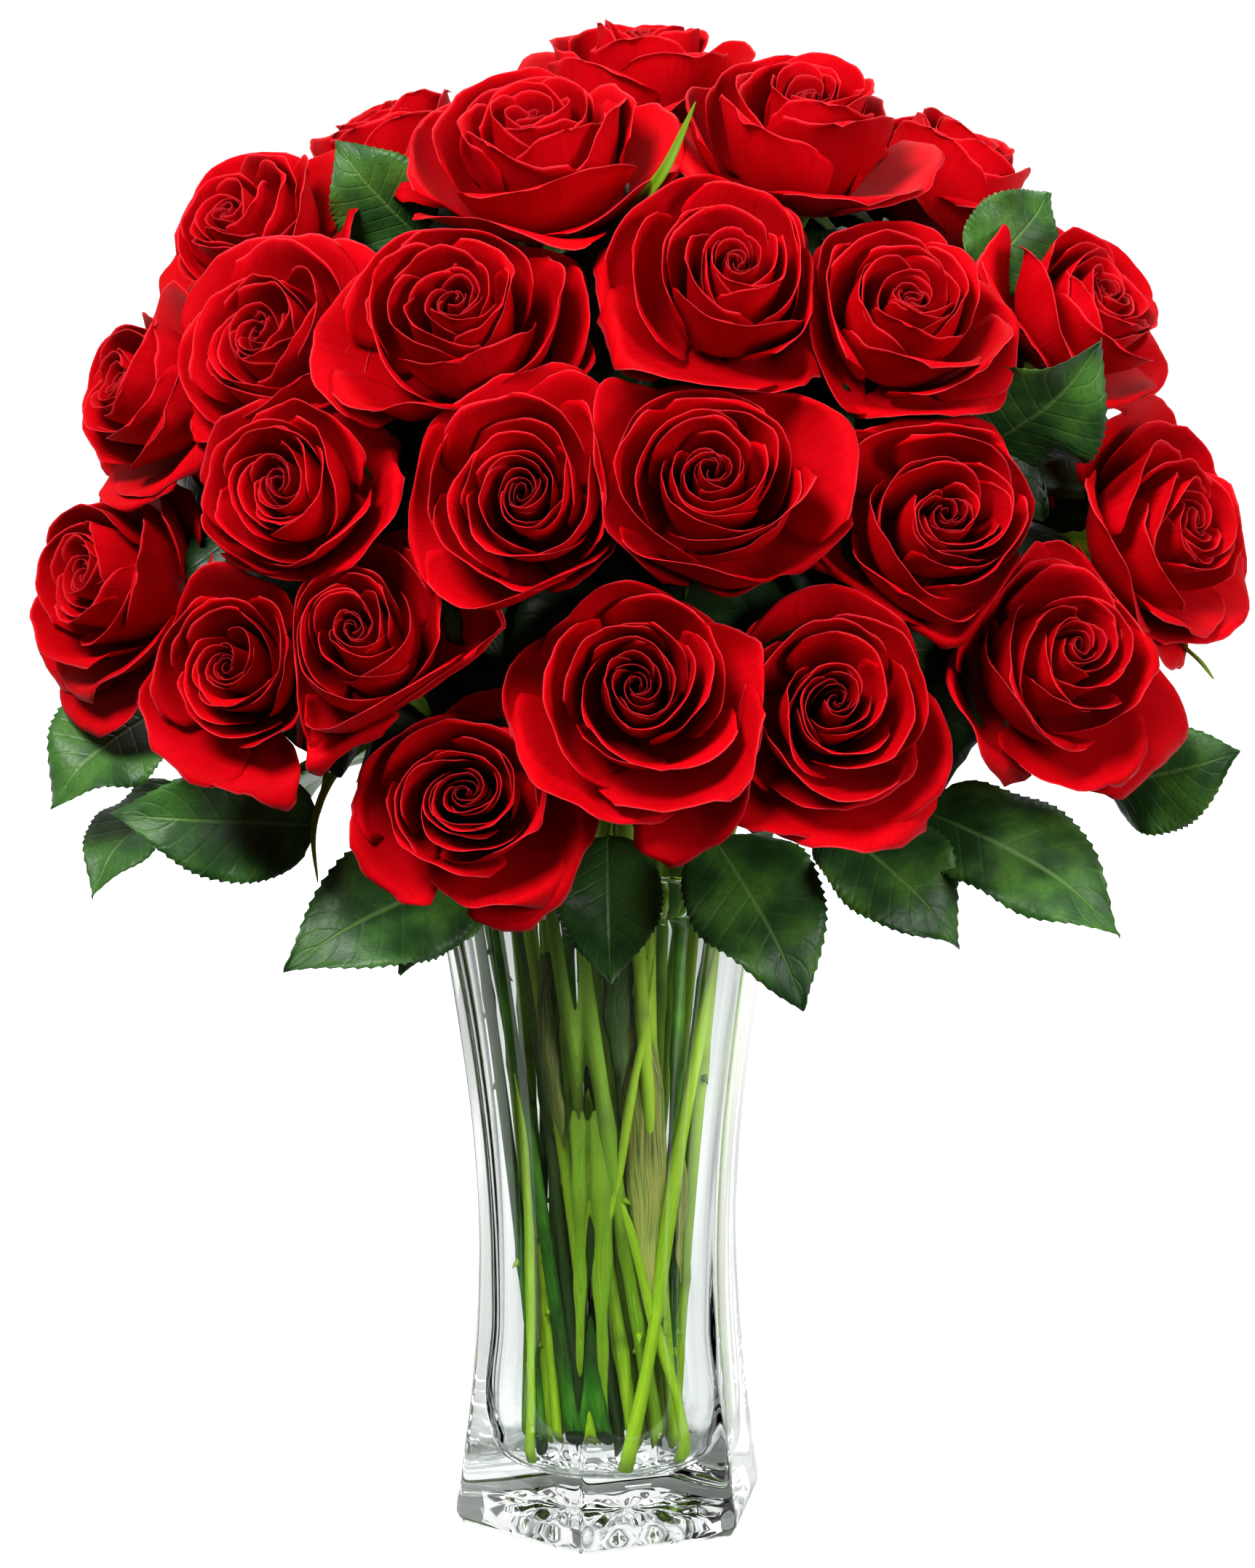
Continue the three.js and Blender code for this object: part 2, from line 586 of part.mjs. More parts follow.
// the listed leaves and those round the back, each with the rose that carries it
function leaves() {
  const listed = LEAVES.map(([x, y, z, tx, ty, tz, width, roll]) => (
    { base: vec(x, y, z), tip: vec(tx, ty, tz), width, roll }));
  const { count, from, to, base: inner, tip: outer, width } = SKIRT;
  const spread = times(count, (k) => {
    const azimuth = radians(lerp(from, to, (k + SKIRT_STRAY.azimuth * draw(k, 0, 20)) / (count - 1)));
    const at = ([radius, z], c) => (
      vec(radius * Math.sin(azimuth), -radius * Math.cos(azimuth), z + SKIRT_STRAY.height * draw(k, 0, c)));
    const wide = width * (1 + SKIRT_STRAY.width * draw(k, 0, 23));
    return { base: at(inner, 21), tip: at(outer, 22), width: wide, roll: 0 };
  });
  return [...listed, ...spread].map(({ base, tip, width, roll }) => {
    const { rose, at } = nearestStem(base);
    return { rose, solid: leaf(base, tip, width, roll, at) };
  });
}

// Assembly: one mesh for each solid
const object = new THREE.Group();
object.name = 'roses_in_vase';

// adds a solid to the object as a mesh with a material of its own
function add(name, manifold, material) {
  const { vertProperties, triVerts } = manifold.getMesh();
  const geometry = new THREE.BufferGeometry();
  geometry.setAttribute('position', new THREE.BufferAttribute(new Float32Array(vertProperties), 3));
  geometry.setIndex(new THREE.BufferAttribute(new Uint32Array(triVerts), 1));
  geometry.computeVertexNormals();
  const mesh = new THREE.Mesh(geometry, material.clone());
  mesh.name = name;
  object.add(mesh);
}

const label = (rose) => String(rose + 1).padStart(2, '0');
add('vase', vase(), MATERIALS.glass);
add('water', water(), MATERIALS.water);
ROSES.forEach((_, rose) => add(`bloom_${label(rose)}`, bloom(rose), MATERIALS.petal));

const foliage = leaves();
const partner = new Map(STEM_PAIRS.flatMap(([a, b]) => [[a - 1, b - 1], [b - 1, a - 1]]));
ROSES.forEach((_, rose) => {
  const other = partner.get(rose);
  if (other < rose) return;
  const roses = other === undefined ? [rose] : [rose, other];
  const pieces = roses.flatMap((k) => [
    stem(k), ...sepals(k), ...foliage.filter((item) => item.rose === k).map((item) => item.solid),
  ]);
  add(`stem_${roses.map(label).join('_')}`, Manifold.union(pieces), MATERIALS.stem);
});

export default object;
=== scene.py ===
"""Deep red roses in a tall hexagonal glass vase: the detailed pieces, materials, camera and
light. Lengths are in millimetres until a mesh is made. The bunch is laid out by the rules of
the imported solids; the stems are a little thicker and some leaves lie a little elsewhere."""

import math

import bpy
import numpy as np
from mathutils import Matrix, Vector


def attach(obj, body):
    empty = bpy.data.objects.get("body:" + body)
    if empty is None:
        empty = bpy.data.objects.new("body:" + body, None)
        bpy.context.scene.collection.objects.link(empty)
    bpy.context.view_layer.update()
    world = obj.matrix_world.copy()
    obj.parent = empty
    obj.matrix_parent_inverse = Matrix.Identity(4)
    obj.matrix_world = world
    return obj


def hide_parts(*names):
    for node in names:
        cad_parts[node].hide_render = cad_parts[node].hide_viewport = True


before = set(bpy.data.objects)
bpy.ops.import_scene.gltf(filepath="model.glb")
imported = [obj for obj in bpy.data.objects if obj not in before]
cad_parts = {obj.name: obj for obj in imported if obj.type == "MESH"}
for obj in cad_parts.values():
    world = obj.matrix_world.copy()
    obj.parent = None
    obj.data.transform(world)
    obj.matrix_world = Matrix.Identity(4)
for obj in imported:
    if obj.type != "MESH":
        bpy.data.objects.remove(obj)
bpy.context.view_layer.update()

# Camera: the photograph's view, in an image of 1725 x 2156
CAMERA_AT = (0.007, -1.6, 0.52)
CAMERA_AIM = (0.007, 0.0, 0.28)
CAMERA_LENS = 99.35

GOLDEN = math.radians(137.508)
BLOOM_SEED, LEAF_SEED, THORN_SEED, INNER_SEED = 500, 700, 900, 1300

VASE_HEIGHT = 254
VASE_SIDES = 6
VASE_TURN = -9.5
CORNER_HALF = 3.5
WATER_LEVEL = 238

# stems: straight from the foot to the neck, then a fan from the neck to the bloom
STEM_RADIUS = 2.6
STRAIGHT_RINGS, FAN_RINGS, TUBE_SIDES = 30, 26, 12
NODES_EACH, NODE_RISE = 3, 0.8
NODE_FIRST, NODE_APART, NODE_SPREAD = 60, 95, 25
THORNS_EACH, THORN_RINGS = 5, (3, 34)
STEM_FOOT_Z = 22.5
STEM_FOOT_SPREAD = 9
NECK_Z = 230
NECK_RADIUS = 44
STEM_TWIST = 60
STEM_GATHER = 0.6
PAIR_REACH = 1.6  # half the distance between the feet of stems that are fused
CUT_SLANT = 1.3
SWAP_PASSES = 20
FAN_FOCUS_Z = 60
FAN_STEPS = 4
FAN_HANDLE = 0.3
RIM_RISE = 50
STEM_APART = 8
RIM_MARGIN = 4.5
SETTLE_PASSES = 40

# blooms, and how they make room for their neighbours
BLOOM_LENGTH = 42
BLOOM_MIDDLE = 0.4
HIP_LENGTH = 14
CROWD_GAP = -1
CROWD_SOFT = 13
CROWD_REACH = 130
CROWD_SLOPE = 0.12  # what passes a halfway plane keeps this share of its depth
ROOM_HEIGHT = 30
ROOM_PRESS = 14
ROOM_LEAST = 0.5
ROOM_MOST = 1.06
OVERLAP_TILT = 0.6  # slope of the halfway planes, so that one bloom's rim lies over the other's

# height and radius
VASE_OUTSIDE = [
    (0, 57.5), (2, 59), (16, 58.5), (40, 55.5), (75, 52.2),
    (110, 51), (150, 53), (190, 58), (225, 63.5), (VASE_HEIGHT, 69),
]
VASE_BORE = [
    (21, 29), (23.5, 34), (31, 37.2), (75, 37.4), (110, 38),
    (150, 40.5), (200, 46.5), (230, 51.5), (VASE_HEIGHT, 56),
]
# the rounded floor of the bore: height of the glass, height of the water, radius of both
BORE_FLOOR = np.array([
    (21.05, 20.9, 22), (21.4, 21.3, 27.5), (22.2, 22.1, 30.6), (23.5, 23.4, 32.8),
    (25, 25, 34.4), (27, 27, 35.7), (30, 30, 36.7), (33, 33, 37.2),
])
WATER_OVERLAP = 0.12
DOME_RADIUS, FOOT_DOME = 43, 2.9
STAR_POINTS, STAR_RELIEF = 12, 1.0
CORNER_STEPS = (0, 0.35, 0.8, 1.4, 2.2, 3.5, 6, 10, 15, 20, 25)  # degrees from a corner

# the eye of each bloom x, y, z; yaw, pitch; size
ROSES = [
    (12, -12, 556, 20, 84, 1.0),
    (70, -88, 535, 18, 66, 1.0),
    (-25, -108, 528, -10, 60, 1.05),
    (-85, 10, 527, -80, 66, 1.0),
    (-132, -80, 494, -40, 38, 0.85),
    (133, 10, 518, 80, 60, 1.0),
    (-52, -160, 467, -6, 35, 1.05),
    (42, -158, 481, 6, 40, 1.0),
    (103, -142, 468, 14, 35, 0.95),
    (176, -80, 466, 53, 37, 0.85),
    (-118, -136, 455, -32, 30, 0.95),
    (-170, -98, 437, -62, 22, 0.85),
    (-111, -162, 405, -22, 18, 0.85),
    (-28, -192, 407, -6, 20, 1.0),
    (36, -193, 412, 3, 24, 1.05),
    (114, -172, 398, 10, 20, 1.0),
    (207, -85, 386, 48, 15, 0.95),
    (-184, -102, 369, -48, 15, 0.95),
    (-128, -155, 345, -18, 18, 0.85),
    (-85, -180, 360, -12, 26, 0.95),
    (11, -192, 341, 0, 18, 1.05),
    (76, -184, 335, 6, 17, 0.95),
    (160, -145, 348, 27, 20, 1.0),
    (-48, -176, 302, -3, 12, 0.9),
    (10, 85, 500, 180, 45, 1.0),
    (-100, 85, 455, -145, 30, 1.0),
    (112, 88, 450, 140, 25, 1.0),
    (-45, 120, 415, -170, 20, 1.0),
    (55, 120, 410, 170, 20, 1.0),
    (-150, 15, 400, -110, 15, 0.95),
    (165, 12, 396, 105, 10, 0.95),
]
SEEN = 24  # the roses from here on are at the back
STEM_PAIRS = [(1, 25), (26, 30), (27, 31), (28, 29)]

# base x, y, z and tip x, y, z of each leaf; width; roll
LEAVES = [
    (-158, -70, 318, -197, -95, 289, 46, -10),
    (-150, -55, 286, -185, -88, 257, 40, 0),
    (-104, -92, 279, -169, -120, 287, 42, -10),
    (-50, -80, 259, -111, -120, 236, 48, 0),
    (-46, -78, 258, -75, -94, 228, 32, 10),
    (0, -85, 274, 1, -99, 224, 38, 0),
    (38, -92, 274, 69, -128, 223, 48, 0),
    (78, -92, 280, 123, -120, 243, 44, 0),
    (112, -86, 283, 179, -118, 249, 46, 0),
    (180, -55, 288, 223, -78, 302, 42, 10),
    (131, -94, 413, 167, -130, 446, 50, 0),
    (129, -72, 470, 157, -62, 500, 38, 0),
    (-66, -70, 485, -94, -84, 516, 38, 0),
]
SKIRT_COUNT = 8
SKIRT_FROM, SKIRT_TO = 115, 258
SKIRT_BASE, SKIRT_TIP, SKIRT_WIDTH = (85, 285), (148, 250), 44
LEAF_LOOK_UP = 0.4
LEAF_LOOK_FRONT = 0.7
LEAF_BULGE = 0.07
LEAF_FOLD = 0.16
LEAF_VEINS, VEIN_SLANT = 9.0, 1.9
TOOTH_ROWS = 3
LEAF_CLEARING = 29  # inner leaves keep this far from a bloom's middle
CLEARING_MIDDLE = 0.45
INNER_REACH, INNER_DEPTH = 122, 27
INNER_LONGEST, INNER_SHORTEST, INNER_STEP = 32, 12, 3
INNER_APART = 29  # the ends of an inner leaf keep this far from the middles of the blooms
# middles of more inner leaves, where light would show through from the front
INNER_MORE = [(31, -40, 359), (89, -10, 491), (172, -30, 382), (132, -50, 331)]

# curled sepals and thin stalks that show between blooms: points, half width, tone
STRIPS = [
    ([(1, -98, 474), (3, -112, 484), (9, -124, 496), (19, -130, 506), (25, -126, 520),
      (30, -118, 531)], 2.2, 0.7),
    ([(-70, -92, 404), (-72, -104, 414), (-80, -112, 424), (-87, -108, 436)], 3.6, 0.5),
    ([(-78, -96, 420), (-70, -110, 428), (-62, -116, 431)], 2.6, 0.7),
    ([(60, -92, 428), (64, -104, 436), (70, -110, 444)], 3.2, 0.6),
    ([(-62, -78, 300), (-82, -98, 312), (-96, -110, 300), (-103, -116, 282),
      (-101, -112, 262)], 2.2, 1.0),
    ([(10, -70, 288), (14, -92, 292), (24, -110, 284), (31, -116, 274)], 2.6, 0.5),
    ([(-8, -72, 290), (-2, -92, 296), (8, -108, 288), (12, -116, 276)], 2.4, 0.7),
    ([(-30, -70, 286), (-26, -90, 280), (-16, -104, 268), (-12, -108, 256)], 1.6, 0.4),
    ([(194, -60, 343), (203, -70, 341), (210, -75, 335), (215, -76, 329)], 2.4, 0.95),
    ([(118, -80, 330), (124, -98, 336), (126, -112, 326), (122, -116, 312)], 3.0, 0.8),
]
# side shoots under water that cross the stems: foot, top, radius
SHOOTS = [
    ((3, -27, 23), (41, -26, 232), 2.8),
    ((29, -18, 23), (0, -32, 135), 2.2),
    ((-5, -30, 112), (14, -33, 222), 1.8),
    ((-25, -18, 23), (-34, -24, 176), 2.1),
]
SHOOT_FREE = 60  # shoots that start above this height taper at the foot too
# sheaths under water: top, low end, half width, brown, bright
SHEATHS = [
    ((5, -29, 209), (17, -28, 76), 9.0, 0.95, 0.8),
    ((-7, -34, 165), (-3, -29, 47), 3.8, 0, 0.5),
    ((1, -35, 236), (1, -31, 172), 6.0, 0.2, 0),
    ((-18, -34, 225), (-14, -30, 150), 5.0, 0.8, 0.5),
    ((24, -22, 150), (27, -18, 95), 4.0, 0.9, 0.5),
]
DARK_STEMS = (10, 12, 23)  # counted from 0

# petals from the heart outward: share of the way out, radii of belly, neck and lip, height,
# drop of the lip, half width in degrees
PETALS = np.array([
    (0.00, 4.5, 2.0, 2.6, 40.0, -1.5, 165),
    (0.12, 7.0, 4.6, 6.0, 42.0, -1.0, 130),
    (0.30, 11.5, 9.5, 12.5, 44.5, 0.0, 100),
    (0.50, 17.5, 16.0, 20.0, 45.5, 0.6, 82),
    (0.70, 24.0, 24.0, 29.0, 43.5, 2.2, 70),
    (0.88, 29.0, 33.0, 40.0, 39.5, 6.0, 60),
    (1.00, 33.0, 44.0, 53.0, 31.0, 9.0, 52),
])
HANGING = (1.0, 1.04, 1.06, 0.86, 1.35, 1.0)  # times the last row, for petals that hang back
PETALS_FRONT, PETALS_BACK, PETALS_HANGING = 24, 15, 3
SEPALS_EACH = 5
GRID_HEART, GRID_OUTER, GRID_BACK = (13, 10), (21, 13), (13, 9)
PETAL_THICK, SEPAL_THICK, LEAF_THICK, STRIP_THICK, SHEATH_THICK = 0.42, 0.9, 0.55, 0.7, 0.6


def vec(*values):
    """The numbers as an array."""
    return np.array(values, float)


def unit(v):
    """v divided by its length."""
    return v / np.linalg.norm(v, axis=-1, keepdims=True)


def draw(i, j, c):
    """A fixed draw from -1 to 1: 2 frac(43758.5453 sin(12.9898 i + 78.233 j + 37.719 c)) - 1."""
    s = math.sin(i * 12.9898 + j * 78.233 + c * 37.719) * 43758.5453
    return 2 * (s - math.floor(s)) - 1


def smooth(low, high, x):
    """0 below low, 1 above high, and 3 t^2 - 2 t^3 between."""
    t = np.clip((x - low) / (high - low), 0, 1)
    return t * t * (3 - 2 * t)


def spin(v, axis, angle):
    """v turned by an angle about a unit axis: v cos + (axis x v) sin + axis (axis.v)(1 - cos)."""
    c, s = math.cos(angle), math.sin(angle)
    return v * c + np.cross(axis, v) * s + np.outer(v @ axis, axis).reshape(np.shape(v)) * (1 - c)


def bezier(handles, t):
    """A cubic through its handles at t: sum of C(3,k) t^k (1-t)^(3-k) p_k."""
    t = np.asarray(t, float)[..., None]
    a, b, c, d = handles
    u = 1 - t
    return u ** 3 * a + 3 * t * u * u * b + 3 * t * t * u * c + t ** 3 * d


class Head:
    """One bloom: its base, middle and axes, and the planes halfway to its neighbours, each
    tilted toward one of the two."""

    def __init__(self, row):
        x, y, z, yaw, pitch, self.size = row
        up, turn = math.radians(90 - pitch), math.radians(yaw)
        axis = vec(0, -math.sin(up), math.cos(up))
        self.axis = spin(axis, vec(0, 0, 1), turn)
        eye = vec(x, y, z)
        self.base = eye - BLOOM_LENGTH * self.size * self.axis
        self.middle = eye - BLOOM_MIDDLE * BLOOM_LENGTH * self.size * self.axis
        level = unit(vec(-self.axis[1], self.axis[0], 0))
        self.frame = np.stack([level, np.cross(self.axis, level), self.axis])
        self.planes = []

    def place(self, local):
        """Points on the head's own axes, put in the bunch: base + x, y, z along its axes."""
        return self.base + local @ self.frame

    def room(self, angle, radius):
        """Share of a radius that is free toward an angle before the halfway planes."""
        out = np.cos(angle)[..., None] * self.frame[0] + np.sin(angle)[..., None] * self.frame[1]
        start = self.base + ROOM_HEIGHT * self.size * self.axis
        free = np.full(np.shape(angle), 1e6)
        for half, across in self.planes:
            toward = out @ across
            reach = ((half - start) @ across) / np.maximum(toward, 0.05)
            free = np.where(toward > 0.05, np.minimum(free, reach), free)
        share = (free + ROOM_PRESS) / (radius * self.size)
        return np.where(share < 1, np.maximum(share, ROOM_LEAST), np.clip(share, 1, ROOM_MOST)
                        - (ROOM_MOST - 1) * smooth(1.3, 1.7, share))

    def give_way(self, points, soft=CROWD_SOFT):
        """Points past depth -s of a halfway plane move back to s(1 - e^(-p/s)) + slope p - s."""
        for half, across in self.planes:
            past = np.maximum(0, (points - half) @ across + CROWD_GAP + soft)
            kept = soft * (1 - np.exp(-past / soft)) + CROWD_SLOPE * past
            points = points + (kept - past)[..., None] * across
        return points


heads = [Head(row) for row in ROSES]
for i, own in enumerate(heads):
    for j, head in enumerate(heads):
        apart = np.linalg.norm(head.middle - own.middle)
        if 0 < apart < CROWD_REACH:
            above = 1 if (draw(min(i, j), max(i, j), 80) > 0) == (i < j) else -1
            across = (head.middle - own.middle) / apart
            tilted = unit(across - OVERLAP_TILT * above * unit(own.axis + head.axis))
            own.planes.append(((head.middle + own.middle) / 2, tilted))


def neck_places():
    """Sunflower places in the neck, r = R sqrt((k + 0.5)/n) at k golden angles, given to the
    roses by swaps that bring two of them nearer to their own lines."""
    n = len(ROSES)
    k = np.arange(n)
    radius = NECK_RADIUS * np.sqrt((k + 0.5) / n)
    places = np.stack([radius * np.cos(k * GOLDEN), radius * np.sin(k * GOLDEN)], -1)
    aims = np.array([head.base[:2] / (head.base[2] - FAN_FOCUS_Z) for head in heads])
    aims -= aims.mean(0)
    aims *= NECK_RADIUS / np.linalg.norm(aims, axis=1).max()
    cost = ((aims[:, None] - places[None]) ** 2).sum(-1)
    chosen = list(range(n))
    for _ in range(SWAP_PASSES):
        for a in range(1, n):
            for b in range(a):
                p, q = chosen[a], chosen[b]
                if cost[a, q] + cost[b, p] < cost[a, p] + cost[b, q]:
                    chosen[a], chosen[b] = q, p
    return np.column_stack([places[chosen], np.full(n, NECK_Z)])


def bore_radius(z):
    """Radius of the bore at a height, straight between its rows."""
    rows = np.array(VASE_BORE, float)
    return np.interp(z, rows[:, 0], rows[:, 1])


necks = neck_places()
feet = []
for k, neck in enumerate(necks):
    foot = spin(vec(neck[0], neck[1], 0) * STEM_GATHER, vec(0, 0, 1), math.radians(STEM_TWIST))
    foot[2] = STEM_FOOT_Z + 0.5 * STEM_FOOT_SPREAD * (1 + draw(k, 0, 11))
    feet.append(foot)
for a, b in STEM_PAIRS:
    ends = (feet[a - 1], feet[b - 1])
    half = (ends[0] + ends[1]) / 2
    for foot in ends:
        away = (foot - half) * (1, 1, 0)
        foot[:] = half + PAIR_REACH * unit(away)

fans = []
for head, neck, foot in zip(heads, necks, feet):
    end = head.base - HIP_LENGTH * head.axis
    reach = np.linalg.norm(end - neck)
    rise = unit(neck - foot)
    fans.append(np.stack([neck, neck + rise * (RIM_RISE + FAN_HANDLE * reach),
                          end - head.axis * FAN_HANDLE * reach, end]))


def fan_points(fan):
    """Ten points on each of the straight steps of a fan."""
    corners = bezier(fan, np.linspace(0, 1, FAN_STEPS + 1))
    t = np.arange(10 * FAN_STEPS + 1) / 10
    return np.stack([np.interp(t, range(FAN_STEPS + 1), corners[:, c]) for c in range(3)], -1)


def bend(fan, n, way):
    """Moves both inner handles so that point n shifts by the given way."""
    t = n / (10 * FAN_STEPS)
    w1, w2 = 3 * t * (1 - t) ** 2, 3 * t * t * (1 - t)
    total = max(0.1, w1 * w1 + w2 * w2)
    fan[1] += way * w1 / total
    fan[2] += way * w2 / total


def settle_fans():
    """Fans that pass too near each other or the rim give way a little at a time."""
    for _ in range(SETTLE_PASSES):
        for a, fan in enumerate(fans):
            for other in fans[:a]:
                pa, pb = fan_points(fan), fan_points(other)
                gaps = np.linalg.norm(pa[:, None] - pb[None], axis=-1)
                na, nb = np.unravel_index(gaps.argmin(), gaps.shape)
                if gaps[na, nb] < STEM_APART:
                    way = unit(pa[na] - pb[nb]) * (STEM_APART - gaps[na, nb]) / 2
                    bend(fan, na, way)
                    bend(other, nb, -way)
            points = fan_points(fan)
            for n, p in enumerate(points):
                past = math.hypot(p[0], p[1]) - bore_radius(min(p[2], VASE_HEIGHT)) + RIM_MARGIN
                if p[2] < VASE_HEIGHT + RIM_MARGIN and past > 0:
                    bend(fan, n, unit(vec(-p[0], -p[1], 0)) * 0.2 * past)


settle_fans()


class Shell:
    """Collects closed pieces of surface and makes one smooth object of them. Every point has
    u, v for its UV map and three values of its own, kept as attributes."""

    def __init__(self):
        self.points, self.values, self.faces, self.slots = [], [], [], []
        self.total = 0

    def add(self, points, values, faces, slot):
        """Adds points and faces, whose numbers count from 0, with a material slot."""
        self.points.append(points.reshape(-1, 3))
        self.values.append(values.reshape(-1, 5))
        self.faces += [[k + self.total for k in face] for face in faces]
        self.slots += [slot] * len(faces)
        self.total += len(self.points[-1])

    def sheet(self, grid, values, thickness, slot=0):
        """A grid (nu, nv, 3) becomes a thin closed sheet: both faces half a thickness off along
        the normal dP/du x dP/dv, thinner at the edge, with a rim between them."""
        nu, nv = grid.shape[:2]
        normal = np.cross(np.gradient(grid, axis=0), np.gradient(grid, axis=1))
        normal /= np.maximum(np.linalg.norm(normal, axis=-1, keepdims=True), 1e-9)
        edge = np.ones((nu, nv))
        edge[[0, -1], :] = edge[:, [0, -1]] = 0.35
        shift = normal * (thickness / 2 * edge)[..., None]
        k = np.arange(nu * nv).reshape(nu, nv)
        face = np.stack([k[:-1, :-1], k[1:, :-1], k[1:, 1:], k[:-1, 1:]], -1).reshape(-1, 4)
        ring = np.concatenate([k[:-1, 0], k[-1, :-1], k[:0:-1, -1], k[0, :0:-1]])
        after = np.roll(ring, -1)
        n = nu * nv
        rim = np.stack([after, ring, ring + n, after + n], -1)
        faces = np.concatenate([face, face[:, ::-1] + n, rim]).tolist()
        self.add(np.stack([grid + shift, grid - shift]), np.stack([values, values]), faces, slot)

    def tube(self, rings, values, slot=0):
        """Rings (m, n, 3) joined side by side, each end closed by one face."""
        m, n = rings.shape[:2]
        k = np.arange(m * n).reshape(m, n)
        after = np.roll(k, -1, axis=1)
        side = np.stack([k[:-1], after[:-1], after[1:], k[1:]], -1).reshape(-1, 4)
        faces = side.tolist() + [k[0, ::-1].tolist(), k[-1].tolist()]
        self.add(rings, values, faces, slot)

    def build(self, name, materials, nodes):
        """Makes the mesh in metres; the object replaces the named solids and rides on root."""
        points = np.concatenate(self.points) / 1000
        values = np.concatenate(self.values)
        mesh = bpy.data.meshes.new(name)
        mesh.from_pydata(points.tolist(), [], self.faces)
        mesh.polygons.foreach_set("use_smooth", np.ones(len(self.faces), bool))
        mesh.polygons.foreach_set("material_index", self.slots)
        corner = np.empty(len(mesh.loops), np.int32)
        mesh.loops.foreach_get("vertex_index", corner)
        uv = mesh.uv_layers.new(name="own")
        uv.data.foreach_set("uv", values[corner, :2].astype(np.float32).ravel())
        for c, label in enumerate(("share", "tone", "depth")):
            layer = mesh.attributes.new(label, "FLOAT", "POINT")
            layer.data.foreach_set("value", values[:, 2 + c].astype(np.float32))
        for material in materials:
            mesh.materials.append(material)
        obj = bpy.data.objects.new(name, mesh)
        bpy.context.scene.collection.objects.link(obj)
        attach(obj, "root")
        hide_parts(*nodes)


def values_of(u, v, share=0.0, tone=0.0, depth=0.0):
    """u, v and three more values for every point of a grid."""
    shape = np.broadcast(u, v).shape
    return np.stack([np.broadcast_to(np.asarray(x, float), shape)
                     for x in (u, v, share, tone, depth)], -1)


# Shader maths


class Wire:
    """A shader socket whose +, - and * make Math nodes."""

    def __init__(self, board, socket):
        self.board, self.socket = board, socket

    def math(self, operation, *others):
        """A Math node of this value and the others."""
        made = self.board.node("Math", {"operation": operation})
        for port, value in zip(made.inputs, (self, *others)):
            self.board.join(value, port)
        return self.board.wire(made)

    def __add__(self, other):
        return self.math("ADD", other)

    def __sub__(self, other):
        return self.math("SUBTRACT", other)

    def __rsub__(self, other):
        return self.math("MULTIPLY_ADD", -1.0, other)

    def __mul__(self, other):
        return self.math("MULTIPLY", other)

    __radd__, __rmul__ = __add__, __mul__

    def step(self, low, high):
        """0 below low, 1 above high, and 3 t^2 - 2 t^3 between."""
        return self.board.wire(self.board.node("MapRange", {"interpolation_type": "SMOOTHSTEP"},
                                               Value=self, From_Min=low, From_Max=high), "Result")


class Board:
    """The nodes of one material or of the world."""

    def __init__(self, tree):
        self.tree = tree

    def node(self, kind, settings=None, **sockets):
        """A node of a kind: first its settings, then a value or a link for each named socket."""
        made = self.tree.nodes.new("ShaderNode" + kind)
        for name, value in (settings or {}).items():
            setattr(made, name, value)
        for port, value in sockets.items():
            self.join(value, made.inputs[port.replace("_", " ")])
        return made

    def join(self, value, port):
        """Links a wire to a socket, or sets the socket to a value."""
        if isinstance(value, Wire):
            self.tree.links.new(value.socket, port)
        else:
            port.default_value = value

    def wire(self, node, output=0):
        """An output of a node, by name or number."""
        return Wire(self, node.outputs[output])

    def split(self, vector):
        """The x, y and z of a vector."""
        node = self.node("SeparateXYZ", Vector=vector)
        return [self.wire(node, axis) for axis in "XYZ"]


class Look(Board):
    """A material with one Principled shader, and the maps that feed it."""

    def __init__(self, name, **settings):
        self.material = bpy.data.materials.new(name)
        self.material.use_nodes = True
        super().__init__(self.material.node_tree)
        self.shader = self.tree.nodes["Principled BSDF"]
        self.output = self.tree.nodes["Material Output"]
        for port, value in settings.items():
            self.shader.inputs[port.replace("_", " ")].default_value = value

    def value(self, name):
        """One of the piece's own values: share, tone or depth."""
        return self.wire(self.node("Attribute", {"attribute_name": name}), "Fac")

    def uv(self):
        """The piece's own u and v."""
        return self.split(self.wire(self.node("UVMap")))[:2]

    def at(self):
        """The place on the object, in metres."""
        return self.wire(self.node("TexCoord"), "Object")

    def point(self, x, y, z):
        """A vector of three values."""
        return self.wire(self.node("CombineXYZ", X=x, Y=y, Z=z))

    def noise(self, where, scale, detail=3.0):
        """Noise between 0 and 1, of a scale in repeats for each unit of the place."""
        return self.wire(self.node("TexNoise", Vector=where, Scale=scale, Detail=detail))

    def mix(self, factor, first, second):
        """Colours mixed by a factor between 0 and 1."""
        node = self.node("Mix", {"data_type": "RGBA"}, Factor=factor)
        ports = [p for p in node.inputs if p.type == "RGBA"]
        for port, colour in zip(ports, (first, second)):
            self.join(colour if isinstance(colour, Wire) else (*colour, 1.0), port)
        return Wire(self, [p for p in node.outputs if p.type == "RGBA"][0])

    def feed(self, port, value):
        """Joins a value to a socket of the Principled shader."""
        self.join(value, self.shader.inputs[port])

    def bump(self, height, distance, strength):
        """Feeds Normal with a bump of a height, 1 being the distance in metres."""
        node = self.node("Bump", Height=height, Distance=distance, Strength=strength)
        self.feed("Normal", self.wire(node, "Normal"))


